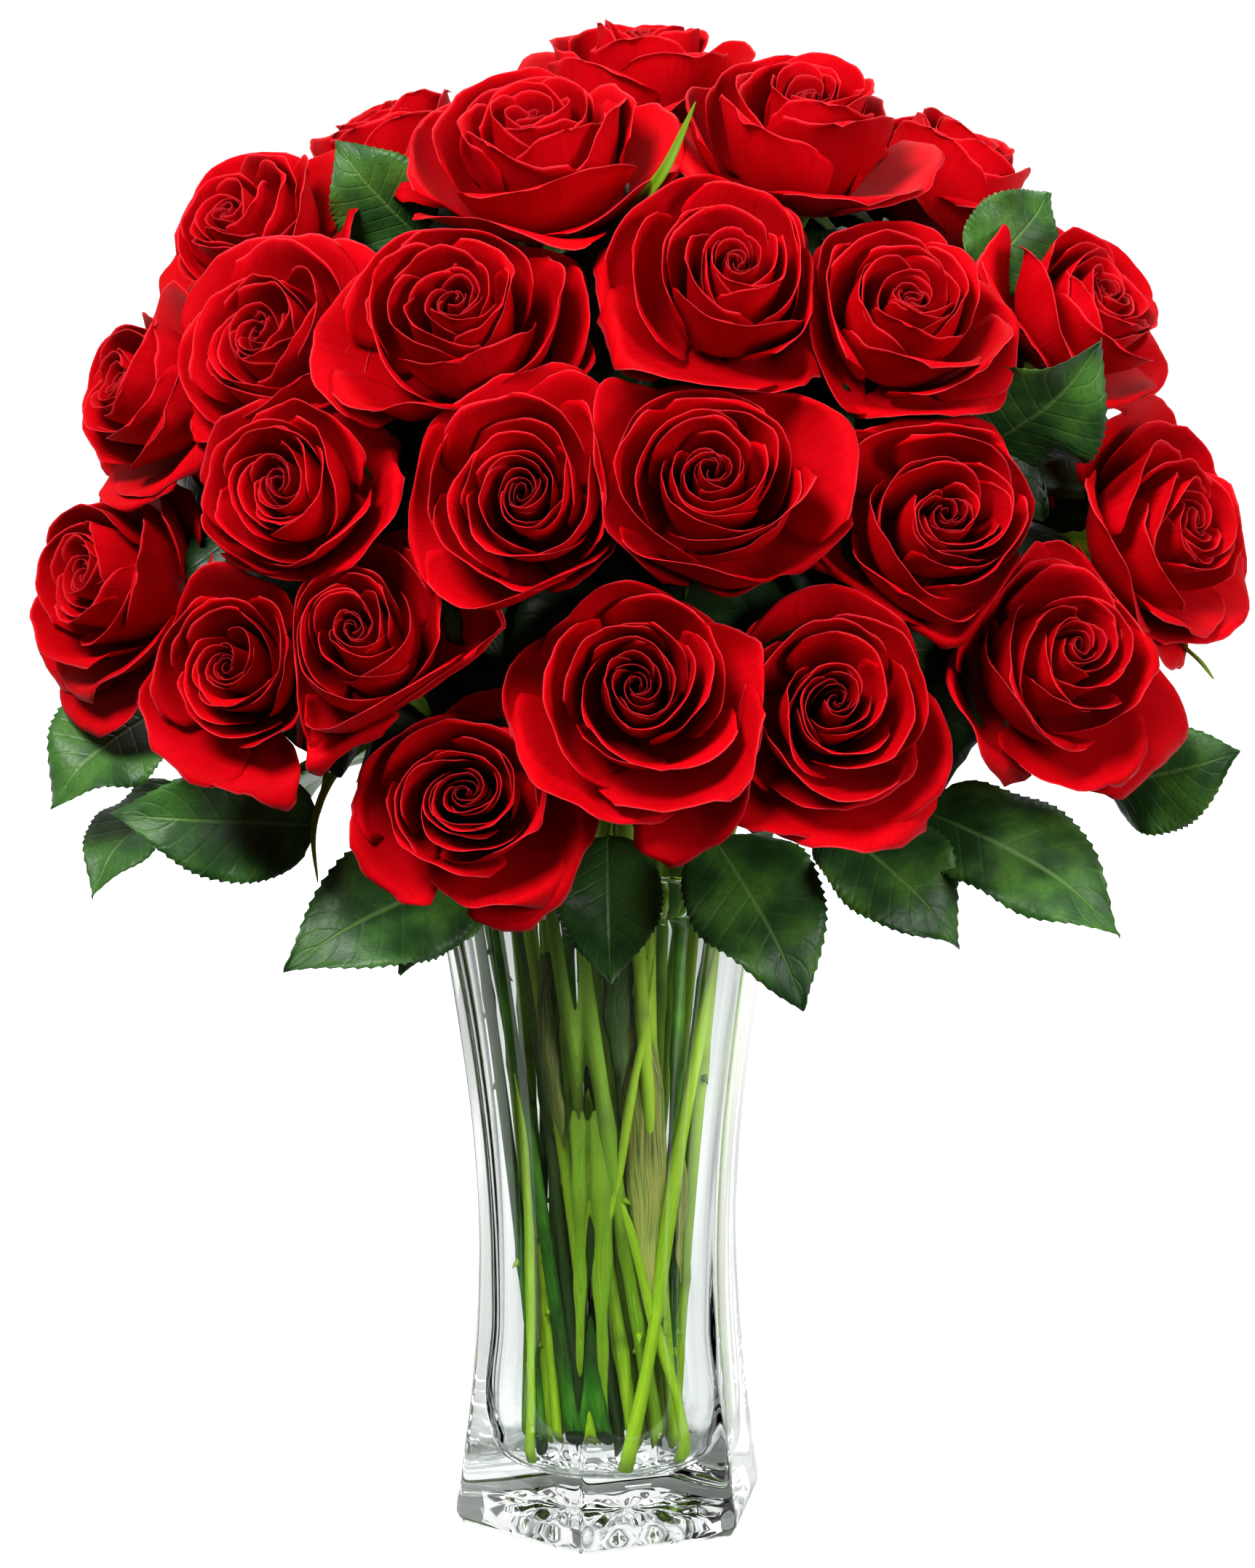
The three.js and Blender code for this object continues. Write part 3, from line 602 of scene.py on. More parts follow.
def petal_look():
    """Deep crimson velvet with fine veins that fan out along the petal. Painted shade darkens
    it toward the root and the heart, and a painted highlight lightens the thin rims."""
    look = Look("petal_velvet", Roughness=0.5, Specular_IOR_Level=0.05,
                Specular_Tint=(1.0, 0.3, 0.3, 1.0))
    u, v = look.uv()
    tone, share = look.value("tone"), look.value("share")
    veins = look.noise(look.point(u * 30.0, v * 2.0, tone * 9.0), 1.0, 2.0)
    cloud = look.noise(look.at(), 50.0, 3.0)
    fine = look.noise(look.at(), 900.0, 2.0)
    # painted shade: each petal is painted darker toward its root, and the petals of the heart
    # darker all over
    painted_shade = 1 - (share.step(0.0, 0.4) * 0.65 + 0.35) * v.step(0.1, 0.92)
    red = look.mix(cloud.step(0.35, 0.75) * 0.5, (0.50, 0.0006, 0.0030), (0.74, 0.0020, 0.0100))
    red = look.mix(veins.step(0.42, 0.7) * 0.3, red, (0.30, 0.0004, 0.0020))
    red = look.mix(tone * 0.5, red, (0.30, 0.0004, 0.0020))
    red = look.mix(painted_shade * (0.95 - share * 0.7), red, (0.045, 0.0001, 0.0004))
    # painted highlight: the last hundredths of each petal toward its lip are painted a lighter
    # pink, more on outer petals
    red = look.mix(v.step(0.965, 1.0) * (share * 0.2 + 0.16), red, (0.80, 0.075, 0.100))
    look.feed("Base Color", red)
    look.feed("Roughness", 0.52 + fine * 0.16 + v * 0.05)
    look.bump(veins * 0.7 + fine * 0.3, 0.0003, 0.5)
    return look.material


def leaf_look():
    """Glossy rose leaf: a pale midrib, side veins that run forward from it to the teeth, a
    quilted surface between them; brown where share is 1, and painted shade, nearly black, where
    depth is 1."""
    look = Look("leaf_green", Roughness=0.4, Specular_IOR_Level=0.25)
    u, v = look.uv()
    tone = look.value("tone")
    across = u.math("ABSOLUTE")
    phase = (v * LEAF_VEINS - across * VEIN_SLANT).math("FRACT") - 0.5
    side = 1 - phase.math("ABSOLUTE").step(0.0, 0.14)
    rib = 1 - across.step(0.0, 0.06)
    small = look.noise(look.point(u * 14.0, v * 40.0, tone), 1.0, 4.0)
    cloud = look.noise(look.at(), 60.0, 2.0)
    green = look.mix(cloud.step(0.3, 0.7), (0.010, 0.043, 0.008), (0.044, 0.138, 0.024))
    green = look.mix(tone * cloud.step(0.45, 0.7) * 0.6, green, (0.080, 0.200, 0.016))
    green = look.mix(small.step(0.35, 0.7) * 0.35, green, (0.010, 0.045, 0.010))
    green = look.mix(side * 0.06, green, (0.12, 0.24, 0.05))
    green = look.mix(rib * 0.45, green, (0.16, 0.30, 0.07))
    green = look.mix(look.value("share") * small.step(0.3, 0.6), green, (0.260, 0.250, 0.050))
    # painted shade: the inner leaves among the blooms, with depth 1, are painted nearly black
    green = look.mix(look.value("depth") * 0.75, green, (0.001, 0.005, 0.001))
    look.feed("Base Color", green)
    look.feed("Roughness", 0.34 + small * 0.2)
    look.bump(small * 0.4 - side * 0.35 - rib * 0.8, 0.0006, 0.6)
    return look.material


def stem_look():
    """Stems, hips and sepals: fresh green with long pale streaks, painted lighter where share
    is 1, high in the vase, as painted light, and brown where depth is 1."""
    look = Look("stem_green", Roughness=0.42, Specular_IOR_Level=0.1)
    u, v = look.uv()
    tone = look.value("tone")
    streak = look.noise(look.point(u * 18.0, v * 5.0, tone * 7.0), 1.0, 3.0)
    cloud = look.noise(look.at(), 40.0, 3.0)
    share = look.value("share")
    # painted light: share picks the lighter of each pair of greens for stems high in the vase
    dim = look.mix(share, (0.004, 0.020, 0.002), (0.070, 0.200, 0.032))
    fresh = look.mix(share, (0.012, 0.080, 0.003), (0.150, 0.400, 0.035))
    bright = look.mix(share, (0.150, 0.270, 0.006), (0.400, 0.600, 0.045))
    green = look.mix(tone * 0.95, look.mix(cloud.step(0.35, 0.65), dim, fresh), bright)
    green = look.mix(streak.step(0.45, 0.75) * (tone * 0.35 + 0.1), green, (0.300, 0.420, 0.030))
    brown = look.mix(share, (0.014, 0.026, 0.006), (0.110, 0.150, 0.050))
    green = look.mix(look.value("depth") * 0.85, green, brown)
    look.feed("Base Color", green)
    look.feed("Roughness", 0.36 + streak * 0.2)
    look.bump(streak, 0.0004, 0.5)
    return look.material


SHADOW_PASS = 0.97


def clear_look(name, ior, colour, waves, distance):
    """A clear body that lets light through to what it holds: Principled transmission, and
    for shadow rays a tinted pass straight through."""
    look = Look(name, Roughness=0.0, IOR=ior, Transmission_Weight=1.0,
                Specular_Tint=(0.85, 0.85, 0.85, 1.0))
    wave = look.noise(look.at(), waves, 2.0)
    look.feed("Base Color", look.mix(wave, colour, tuple(c ** 0.7 for c in colour)))
    look.feed("Roughness", wave.step(0.55, 0.8) * 0.004)
    look.bump(wave, distance, 0.5)
    through = look.node("BsdfTransparent", Color=(*colour, 1.0))
    shadow = look.wire(look.node("LightPath"), "Is Shadow Ray")
    blend = look.node("MixShader", Fac=shadow * SHADOW_PASS)
    look.join(look.wire(look.shader), blend.inputs[1])
    look.join(look.wire(through), blend.inputs[2])
    look.join(look.wire(blend), look.output.inputs["Surface"])
    return look.material


PETAL, LEAF, STEM = petal_look(), leaf_look(), stem_look()
LEAF_SLOT = 1  # stems have the materials STEM and LEAF
GLASS = clear_look("clear_glass", 1.5, (0.960, 0.987, 0.978), 30.0, 0.00008)
WATER = clear_look("still_water", 1.333, (0.975, 0.992, 0.982), 60.0, 0.00003)


# Blooms


def petal(head, heart, theta, sizes, t, rng, nu, nv):
    """One petal: a Bezier of degree four from hip over belly and neck to the rolled lip, swept
    over its width u. Its length falls as 0.24(1-r) w^2.2 + 0.21 r w^1.05 with the distance w from
    its point, r being how roof-like the edge is; the lip rolls back toward its corners. Petals
    near the heart shift with it and are squeezed to an oval: radius (1 + s (1-t) cos 2(a-b))."""
    belly, neck, lip, height, drop, half = sizes
    u = np.linspace(-1, 1, nu)[:, None]
    v = np.linspace(0, 1, nv)[None, :] ** 0.75
    a = rng.uniform(0, 2 * np.pi, 8)
    wave = 0.7 + 0.9 * t
    off = np.abs(u - rng.normal(0, 0.14) * wave)
    roof = rng.uniform(0.3 + 0.3 * t, 1.0) * smooth(0.15, 0.5, t)
    cut = (0.24 * (1 - roof) * off ** 2.2 + 0.21 * roof * off ** 1.05
           - 0.05 * roof * np.exp(-((off / 0.1) ** 2))
           + wave * (0.024 * np.sin(3.7 * u + a[0]) + 0.016 * np.sin(8.3 * u + a[1])
                     + 0.005 * np.sin(21 * u + a[2])))
    w = v * (1 - cut)
    curl = rng.uniform(0.35, 1.4)
    roll = curl * (0.15 + (1.0 + 0.6 * t) * u ** 2 + 0.45 * np.sin(2.2 * u + a[3]))
    roll = np.minimum(roll, 2.0)
    handles = [(2.5, 0.0), (belly * 0.80, 0.02 * height), (belly * 1.10, 0.42 * height),
               (neck, 0.98 * height),
               (neck + (lip - neck) * (0.5 + 0.62 * roll), height - drop * (0.2 + roll))]
    share = [(1 - w) ** 4, 4 * w * (1 - w) ** 3, 6 * w ** 2 * (1 - w) ** 2,
             4 * w ** 3 * (1 - w), w ** 4]
    radius = sum(s * h[0] for s, h in zip(share, handles))
    z = sum(s * h[1] for s, h in zip(share, handles))
    swirl = np.interp(t, [0, 0.2, 0.6, 1], [1.8, 3.0, 3.8, 1.2])
    radius = radius + swirl * u * smooth(0.1, 0.7, v)
    g = 0.45 + 0.55 * smooth(0, 0.6, v) - (0.12 + 0.12 * t) * smooth(0.8, 1, v)
    angle = theta + np.radians(half) * u * g
    top = smooth(0.68, 1, v)
    z = z + wave * (0.6 * np.sin(3.6 * u + a[1]) * smooth(0.6, 1, v)
                    + 0.12 * np.sin(13 * u + a[4]) * top)
    radius = radius + wave * (0.55 * np.sin(4.4 * u + a[0]) + 0.14 * np.sin(12 * u + a[5])) * top
    radius = radius + (0.3 + t) * np.sin(2.2 * u + 4 * v + a[6]) * smooth(0.2, 0.6, v)
    radius = np.maximum(radius, 0.25)
    aside, squeeze, oval = heart
    radius = radius * (1 + squeeze * (1 - t) * np.cos(2 * (angle - oval)) * smooth(0.2, 0.7, v))
    radius = radius * (1 + (head.room(angle, max(lip, 30)) - 1) * smooth(0.1, 0.5, v))
    local = np.stack([radius * np.cos(angle), radius * np.sin(angle), z], -1)
    shift = rng.normal(0, 0.9 * t + 0.15, 2)
    shift = shift + aside * (1 - smooth(0.15, 0.7, t))
    local[..., :2] += shift * smooth(0.2, 0.8, v)[..., None]
    return head.give_way(head.place(local * head.size)), values_of(u, v)


def bloom(index):
    """Petals at golden angles from the heart to the guard petals, the k-th at the share
    (k/(n-1))^1.25 of the way out, and past them three that hang back."""
    head = heads[index]
    rng = np.random.default_rng(BLOOM_SEED + index)
    shell = Shell()
    turn = rng.uniform(0, 2 * np.pi)
    opened = 1 + 0.08 * rng.normal()
    count = PETALS_FRONT if index < SEEN else PETALS_BACK
    heart = (1.8 * vec(draw(index, 0, 80), draw(index, 1, 80)), 0.12 + 0.06 * draw(index, 2, 80),
             math.pi * draw(index, 3, 80))
    for k in range(count + PETALS_HANGING):
        t = min((k / (count - 1)) ** 1.25, 1)
        sizes = np.array([np.interp(t, PETALS[:, 0], PETALS[:, c]) for c in range(1, 7)])
        sizes[:3] *= 1 + rng.normal(0, 0.04 + 0.05 * (t < 0.4))
        sizes[1:3] *= 1 + rng.normal(0, 0.06) + (opened - 1) * t
        sizes[3] += rng.normal(0, 0.9 + 0.7 * t)
        sizes[5] *= 1 + rng.normal(0, 0.08)
        if k >= count:
            sizes *= HANGING
        theta = turn + k * GOLDEN + rng.normal(0, 0.2 + 0.35 * (t < 0.4))
        nu, nv = GRID_HEART if t < 0.3 else GRID_OUTER
        if index >= SEEN:
            nu, nv = GRID_BACK
        grid, values = petal(head, heart, theta, sizes, t, rng, nu, nv)
        values[..., 2] = t
        values[..., 3] = rng.uniform(0, 1)
        shell.sheet(grid, values, PETAL_THICK)
    name = f"bloom_{index + 1:02d}"
    shell.build(name + "_petals", [PETAL], [name])


for index in range(len(ROSES)):
    bloom(index)


# Stems, hips, sepals and leaves


def tube_rings(path, radii, sides):
    """Rings P + r (A cos a + B sin a) round a path, whose across direction A turns as little as
    it can."""
    across = vec(1, 0, 0)
    rings = []
    turn = np.linspace(0, 2 * np.pi, sides, endpoint=False)[:, None]
    for point, way, radius in zip(path, unit(np.gradient(path, axis=0)), radii):
        across = unit(across - way * (across @ way))
        other = np.cross(way, across)
        rings.append(point + radius * (np.cos(turn) * across + np.sin(turn) * other))
    return np.array(rings)


def tube_sides():
    """A tube's u, |-1 to 1| round it."""
    return np.abs(np.linspace(-1, 1, TUBE_SIDES, endpoint=False))[None, :]


def painted_light(z):
    """Painted light: 1 where the stems stand in the upper part of the vase and are painted lighter
    as if lit there, else 0.
    """
    return smooth(105, 200, z) * (1 - smooth(250, 300, z))


def stem(shell, index):
    """Straight from the cut end to the neck, a cubic fan to the hip, the hip's swelling, with
    a few nodes and thorns on the way; the end is cut at a slant. Each node adds to the radius
    0.8 e^(-((s - node)/5)^2) at the length s, with a darker band just past it."""
    head, fan = heads[index], fans[index]
    low = feet[index] + ((necks[index] - feet[index])
                         * np.linspace(0, 0.96, STRAIGHT_RINGS)[:, None])
    high = bezier(fan, np.linspace(0.0, 1, FAN_RINGS))
    swell = np.array([[6.2, 8], [7.2, 4.5], [7.4, 2.5], [6.4, 0.4]])
    hip = head.base - swell[:, 1:] * head.axis
    path = np.concatenate([low, high, hip])
    radii = np.concatenate([np.full(STRAIGHT_RINGS + FAN_RINGS, STEM_RADIUS), swell[:, 0]])
    radii[-6:-4] = 2.8, 3.4  # the last two rings of the fan widen toward the hip
    radii = radii * (1.08 + 0.18 * draw(index, 3, 33))
    length = np.concatenate([[0], np.cumsum(np.linalg.norm(np.diff(path, axis=0), axis=1))])
    band = np.zeros(len(path))
    for c in range(NODES_EACH):
        node = NODE_FIRST + NODE_APART * c + NODE_SPREAD * draw(index, c, 31)
        radii = radii + NODE_RISE * np.exp(-((length - node) / 5) ** 2)
        band = np.maximum(band, np.exp(-((length - node - 3) / 5) ** 2))
    rings = tube_rings(path, radii, TUBE_SIDES)
    slant = (rings[0] - path[0]) @ vec(math.cos(index), math.sin(index), 0) + radii[0]
    rings[0] += CUT_SLANT * slant[:, None] * unit(path[1] - path[0])
    tone = smooth(0.25, 0.75, 0.5 + 0.5 * draw(index, 1, 32))
    brown = np.maximum(band * 0.6, index in DARK_STEMS)[:, None]
    # share is painted light: the stem is painted lighter high in the vase
    shell.tube(rings, values_of(tube_sides(), length[:, None] / 60, painted_light(path[:, 2:]), tone,
                                brown))
    rng = np.random.default_rng(THORN_SEED + index)
    for _ in range(THORNS_EACH):
        k = rng.integers(*THORN_RINGS)
        out = unit(rings[k, rng.integers(0, TUBE_SIDES)] - path[k])
        way = unit(path[k + 1] - path[k])
        root = path[k] + out * (radii[k] - 0.6)
        spike = np.stack([root, root + out * 1.6 - way * 0.4, root + out * 3.4 - way * 1.8])
        shell.tube(tube_rings(spike, [1.9, 1.0, 0.12], 6),
                   values_of(np.zeros((3, 6)), 0.5, 0, 0.9))


def sepals(shell, index):
    """Five tapering blades that leave the hip, reach outward and curl back at the tip: at the
    share t they are about R sin(ct)/c out from the hip and R (1 - cos ct)/c below it."""
    head = heads[index]
    s = np.linspace(-1, 1, 7)[:, None]
    t = np.linspace(0, 1, 12)[None, :]
    for n in range(SEPALS_EACH):
        a = 2 * math.pi * (n + 0.5) / SEPALS_EACH + 0.2 * draw(index, n, 40)
        reach = 27 + 5 * draw(index, n, 41)
        curl = 1.1 + 0.9 * draw(index, n, 42)
        lean = 0.22 * draw(index, n, 12)
        width = 4.2 * (1 - t) ** 0.75 * (1 + 0.12 * np.sin(34 * t + n)) + 0.15
        out = 4.5 + reach * np.sin(np.minimum(curl * t, 1.9)) / max(curl, 0.4) * 0.95
        drop = -1.5 - reach * (1 - np.cos(curl * t)) / max(curl, 0.4) - 3 * t
        turn = a + lean * t
        x = out * np.cos(turn) - s * width * np.sin(turn)
        y = out * np.sin(turn) + s * width * np.cos(turn)
        z = drop + 1.4 * s ** 2 * (1 - t)
        grid = head.give_way(head.place(np.stack([x, y, z], -1)))
        tone = 0.3 + 0.3 * draw(index, n, 43)
        shell.sheet(grid, values_of(s * 0.3, t * 0.6, 0, tone), SEPAL_THICK)


def leaf(shell, base, tip, width, roll, tone, seed, teeth=22, columns=13, clear=0, face=None):
    """A toothed blade: half width W sin(pi t^0.8)^(0.5 + 0.65 t^2) with forward teeth, bulging by
    4 b L t(1-t), its halves folded up, its edge waved and its tip bent down. It looks outward,
    or toward face, and moves out of a ball of radius clear round the middle of each bloom."""
    along = tip - base
    length = np.linalg.norm(along)
    along = along / length
    outlook = face
    if face is None:
        outlook = unit(vec(base[0], base[1], 0)) + vec(0, 0, LEAF_LOOK_UP)
        if base[1] < 0:
            outlook = outlook + vec(0, -LEAF_LOOK_FRONT, 0)
    up = unit(outlook - along * (outlook @ along))
    up = spin(up, along, math.radians(roll))
    side = np.cross(along, up)
    t = np.linspace(0, 1, teeth * TOOTH_ROWS + 1)
    tooth = (t * teeth) % 1
    half = width / 2 * np.clip(np.sin(np.pi * t ** 0.8), 0, 1) ** (0.5 + 0.65 * t ** 2)
    half = half * (1 + 0.08 * (tooth ** 1.6 - 0.3) * smooth(0.02, 0.12, t)) + 0.25
    s = np.linspace(-1, 1, columns)[:, None]
    edge = np.abs(s)
    forward = 0.012 * length * tooth * smooth(0.8, 1, edge)
    rng = np.random.default_rng(seed)
    a1, a2 = rng.uniform(0, 2 * np.pi, 2)
    rise = 4 * LEAF_BULGE * length * t * (1 - t) + LEAF_FOLD * edge * half * 0.8
    rise = rise + 0.055 * width * np.sin(9 * t + a1 + 1.5 * s) * edge ** 2
    rise = rise + 0.03 * width * np.sin(17 * t + a2) * edge ** 2
    rise = rise - 0.10 * length * smooth(0.55, 1, t) ** 2
    quilt = 0.22 * np.cos(2 * np.pi * (LEAF_VEINS * t - VEIN_SLANT * edge)) * edge * (1 - edge)
    grid = (base + (t * length + forward)[..., None] * along
            + (s * half)[..., None] * side + (rise + quilt)[..., None] * up)
    if clear:
        for head in heads + heads[::-1]:
            away = grid - (head.base + CLEARING_MIDDLE * BLOOM_LENGTH * head.size * head.axis)
            gap = np.linalg.norm(away, axis=-1, keepdims=True)
            grid = grid + away / gap * np.maximum(0, clear * head.size - gap)
    # depth is 1 for the inner leaves, which are painted nearly black as painted shade
    values = values_of(s[::-1], t[None, :], 0, tone, min(clear, 1))
    shell.sheet(grid[::-1], values, LEAF_THICK, LEAF_SLOT)


def stalk(shell, root, base, tip):
    """A leaf's stalk, from the stem to a little way along the midrib."""
    bow = bezier(np.stack([root, root + (base - root) * 0.4 + vec(0, 0, 3),
                           base - (tip - base) * 0.1, base + (tip - base) * 0.06]),
                 np.linspace(0, 1, 9))
    shell.tube(tube_rings(bow, np.linspace(1.4, 0.9, 9), 8),
               values_of(np.zeros((9, 8)), 0.4, 0, 0.7))


def strip(shell, points, half, tone):
    """A narrow blade along a smooth path through the points, widest a third of the way along and
    hollow across, its face turned to the outside."""
    points = np.array(points, float)
    t = np.linspace(0, 1, 28)
    knots = np.linspace(0, 1, len(points))
    path = np.stack([np.interp(t, knots, points[:, c]) for c in range(3)], -1)
    for _ in range(12):
        path[1:-1] = (path[:-2] + 2 * path[1:-1] + path[2:]) / 4
    ahead = unit(np.gradient(path, axis=0))
    out = unit(path * (1, 1, 0) + (0, 0, 30))
    across = unit(np.cross(ahead, out))
    up = np.cross(across, ahead)
    s = np.linspace(-1, 1, 7)[:, None]
    wide = half * np.sin(np.pi * (0.15 + 0.85 * t) ** 0.7) ** 0.8 + 0.15
    grid = path + (s * wide)[..., None] * across + (0.5 * s ** 2 * wide)[..., None] * up
    shell.sheet(grid[::-1], values_of(s[::-1] * 0.3, t[None, :], 0, tone), STRIP_THICK)


def sheath(shell, top, low, half, brown, tone):
    """What is left of a leaf under water: a blade between two points, kept inside the bore;
    green like a stem or, with some brown, veined along its length."""
    t = np.linspace(0, 1, 22)[None, :]
    s = np.linspace(-1, 1, 7)[:, None]
    middle = vec(*top) + (vec(*low) - vec(*top)) * t[..., None]
    wide = half * np.clip(np.sin(np.pi * t ** 0.6), 0, 1) ** 0.7 + 0.15
    x = middle[..., 0] + 1.2 * np.sin(7 * t + top[0]) + s * wide + 0.5 * np.sin(23 * t + s * 2)
    y = middle[..., 1] - 1.3 * np.cos(1.4 * s) + 1.5 * np.sin(5 * t)
    z = middle[..., 2] + 0 * s
    far = np.maximum(1, np.hypot(x, y) / (bore_radius(z) * 0.84))
    grid = np.stack([x / far, y / far, z], -1)
    if brown:
        shell.sheet(grid, values_of(s, t * 0.15, brown, tone), SHEATH_THICK, LEAF_SLOT)
    else:
        # share is painted light: painted lighter high in the vase
        shell.sheet(grid, values_of(s, t, painted_light(z), tone), SHEATH_THICK)


def shoot(shell, low, high, radius):
    """A side shoot under water: a slightly bowed tube from low to high, kept inside the bore."""
    t = np.linspace(0, 1, 24)[:, None]
    path = (low + (high - low) * t + vec(2.0, -1.5, 0) * np.sin(np.pi * t)
            + vec(0.8, 0, 0) * np.sin(9 * t))
    far = np.maximum(1, np.hypot(path[:, 0], path[:, 1]) / (bore_radius(path[:, 2]) - radius - 2.5))
    path[:, :2] /= far[:, None]
    radii = radius * (1 + 0.12 * np.cos(13 * t[:, 0])) * (1 - 0.85 * smooth(0.8, 1, t[:, 0]))
    if low[2] > SHOOT_FREE:
        radii = radii * (0.15 + 0.85 * smooth(0, 0.2, t[:, 0]))
    # share is painted light: the shoot is painted lighter high in the vase
    shell.tube(tube_rings(path, radii, TUBE_SIDES),
               values_of(tube_sides(), t * 2.5, painted_light(path[:, 2:]), 1))


def free_length(middle, way):
    """How far an inner leaf reaches before it comes near a bloom's middle."""
    for length in range(INNER_LONGEST, INNER_SHORTEST, -INNER_STEP):
        end = middle + length * way
        if min(np.linalg.norm(head.middle - end) - INNER_APART * head.size for head in heads) > 0:
            return length
    return INNER_SHORTEST


def inner_rows():
    """Leaves that fill the gaps between the blooms from below: one behind the middle of each
    pair of neighbours, lying across the line between them. They are painted nearly black, as
    painted shade."""
    rows = []
    for i, own in enumerate(heads):
        for j in range(i + 1, len(heads)):
            head = heads[j]
            middle = (own.middle + head.middle) / 2
            apart = np.linalg.norm(head.middle - own.middle)
            nearest = min(np.linalg.norm(other.middle - middle) for other in heads
                          if other is not own and other is not head)
            if apart > INNER_REACH or nearest < 0.45 * apart:
                continue
            face = unit(own.axis + head.axis)
            along = unit(np.cross(head.middle - own.middle, face))
            middle = middle - INNER_DEPTH * face + 5 * draw(i, j, 81) * along
            way = along * (1 if along[2] < 0 else -1) + 0.25 * draw(i, j, 82) * face
            ends = [middle + side * free_length(middle, side * way) * way for side in (-1, 1)]
            rows.append((*ends, 44 + 5 * draw(i, j, 83), face))
    for middle in INNER_MORE:
        rows.append((vec(*middle) + (-24, 0, 6), vec(*middle) + (24, 0, -6), 38, vec(0, -1, 0.3)))
    return rows


def leaf_rows():
    """The listed leaves and the rule for those round the back."""
    rows = [(vec(*row[:3]), vec(*row[3:6]), row[6], row[7]) for row in LEAVES]
    for k in range(SKIRT_COUNT):
        share = (k + 0.25 * draw(k, 0, 20)) / (SKIRT_COUNT - 1)
        azimuth = math.radians(SKIRT_FROM + (SKIRT_TO - SKIRT_FROM) * share)
        ends = [vec(r * math.sin(azimuth), -r * math.cos(azimuth), z + 12 * draw(k, 0, c))
                for (r, z), c in ((SKIRT_BASE, 21), (SKIRT_TIP, 22))]
        rows.append((*ends, SKIRT_WIDTH * (1 + 0.15 * draw(k, 0, 23)), 0))
    return rows


def nearest_stem(point):
    """The stem whose fan passes nearest a point, clear of its ends, and where it does."""
    best = (1e9, 0, point)
    for rose, fan in enumerate(fans):
        points = fan_points(fan)[10:-5]
        gaps = np.linalg.norm(points - point, axis=1)
        k = gaps.argmin()
        best = min(best, (gaps[k], rose, points[k]), key=lambda row: row[0])
    return best[1], best[2]


def stem_at(point):
    """The stem whose straight part passes nearest a point under the rim, at that height."""
    gaps = [np.hypot(*(foot + (neck - foot) * (point[2] - foot[2]) / (neck - foot)[2] - point)[:2])
            for foot, neck in zip(feet, necks)]
    return int(np.argmin(gaps))


# what each stem carries
carried, inner, strips, shoots, sheaths = ([[] for _ in ROSES] for _ in range(5))
for row in SHOOTS:
    shoots[stem_at(row[0])].append(row)
for row in SHEATHS:
    sheaths[stem_at(row[0])].append(row)
for row in inner_rows():
    rose, root = nearest_stem(row[0])
    inner[rose].append((root, *row))
for row in STRIPS:
    strips[nearest_stem(vec(*row[0][0]))[0]].append(row)
for n, row in enumerate(leaf_rows()):
    rose, root = nearest_stem(row[0])
    carried[rose].append((n, root, *row))


def greens(group):
    """The stems of one node, with all that they carry."""
    shell = Shell()
    for k in group:
        stem(shell, k)
        sepals(shell, k)
        for n, root, base, tip, width, roll in carried[k]:
            tone = 0.5 + 0.5 * draw(n, 2, 50)
            leaf(shell, base, tip, width, roll, tone, LEAF_SEED + n)
            stalk(shell, root, base, tip)
        for n, (root, base, tip, width, face) in enumerate(inner[k]):
            leaf(shell, base, tip, width, 25 * draw(k, n, 60), 0.1, INNER_SEED + 9 * k + n,
                 teeth=7, columns=7, clear=LEAF_CLEARING, face=face)
            stalk(shell, root, base, tip)
        for row in strips[k]:
            strip(shell, *row)
        for low, high, radius in shoots[k]:
            shoot(shell, vec(*low), vec(*high), radius)
        for row in sheaths[k]:
            sheath(shell, *row)
    name = "stem_" + "_".join(f"{k + 1:02d}" for k in group)
    shell.build(name + "_green", [STEM, LEAF], [name])


second_of = {a - 1: b - 1 for a, b in STEM_PAIRS}
for index in range(len(ROSES)):
    if index in second_of:
        greens([index, second_of[index]])
    elif index not in second_of.values():
        greens([index])


# Vase and water


def eased(rows, z):
    """Radius at a height by a smooth cubic through the rows, each row's slope being taken from
    its neighbours."""
    rows = np.array(rows, float)
    slopes = np.gradient(rows[:, 1], rows[:, 0])
    k = np.clip(np.searchsorted(rows[:, 0], z) - 1, 0, len(rows) - 2)
    h = rows[k + 1, 0] - rows[k, 0]
    t = np.clip((z - rows[k, 0]) / h, 0, 1)
    return ((2 * t ** 3 - 3 * t ** 2 + 1) * rows[k, 1] + (t ** 3 - 2 * t ** 2 + t) * h * slopes[k]
            + (3 * t ** 2 - 2 * t ** 3) * rows[k + 1, 1] + (t ** 3 - t ** 2) * h * slopes[k + 1])


def hex_angles():
    """Angles round the vase in degrees, close together at its corners."""
    steps = list(CORNER_STEPS) + [30] + [60 - step for step in reversed(CORNER_STEPS[1:])]
    return np.array([60 * corner + step for corner in range(VASE_SIDES) for step in steps])


def hexagon(radius):
    """Points of a hexagon whose faces lie at R cos(30 - CORNER_HALF): the smooth lesser of the
    two faces' distances d/cos(30 - a) and d/cos(30 + a) at an angle a from the corner,
    -k log(e^(-f1/k) + e^(-f2/k)) with k = 1 mm."""
    angle = hex_angles()
    a = (angle + 30) % 60 - 30
    face = radius * math.cos(math.radians(30 - CORNER_HALF))
    one, two = face / np.cos(np.radians(30 - a)), face / np.cos(np.radians(30 + a))
    low = np.minimum(one, two)
    reach = low - np.log(np.exp(low - one) + np.exp(low - two))
    turn = np.radians(angle + VASE_TURN - 90)
    return np.stack([np.cos(turn), np.sin(turn)], -1) * reach[:, None]


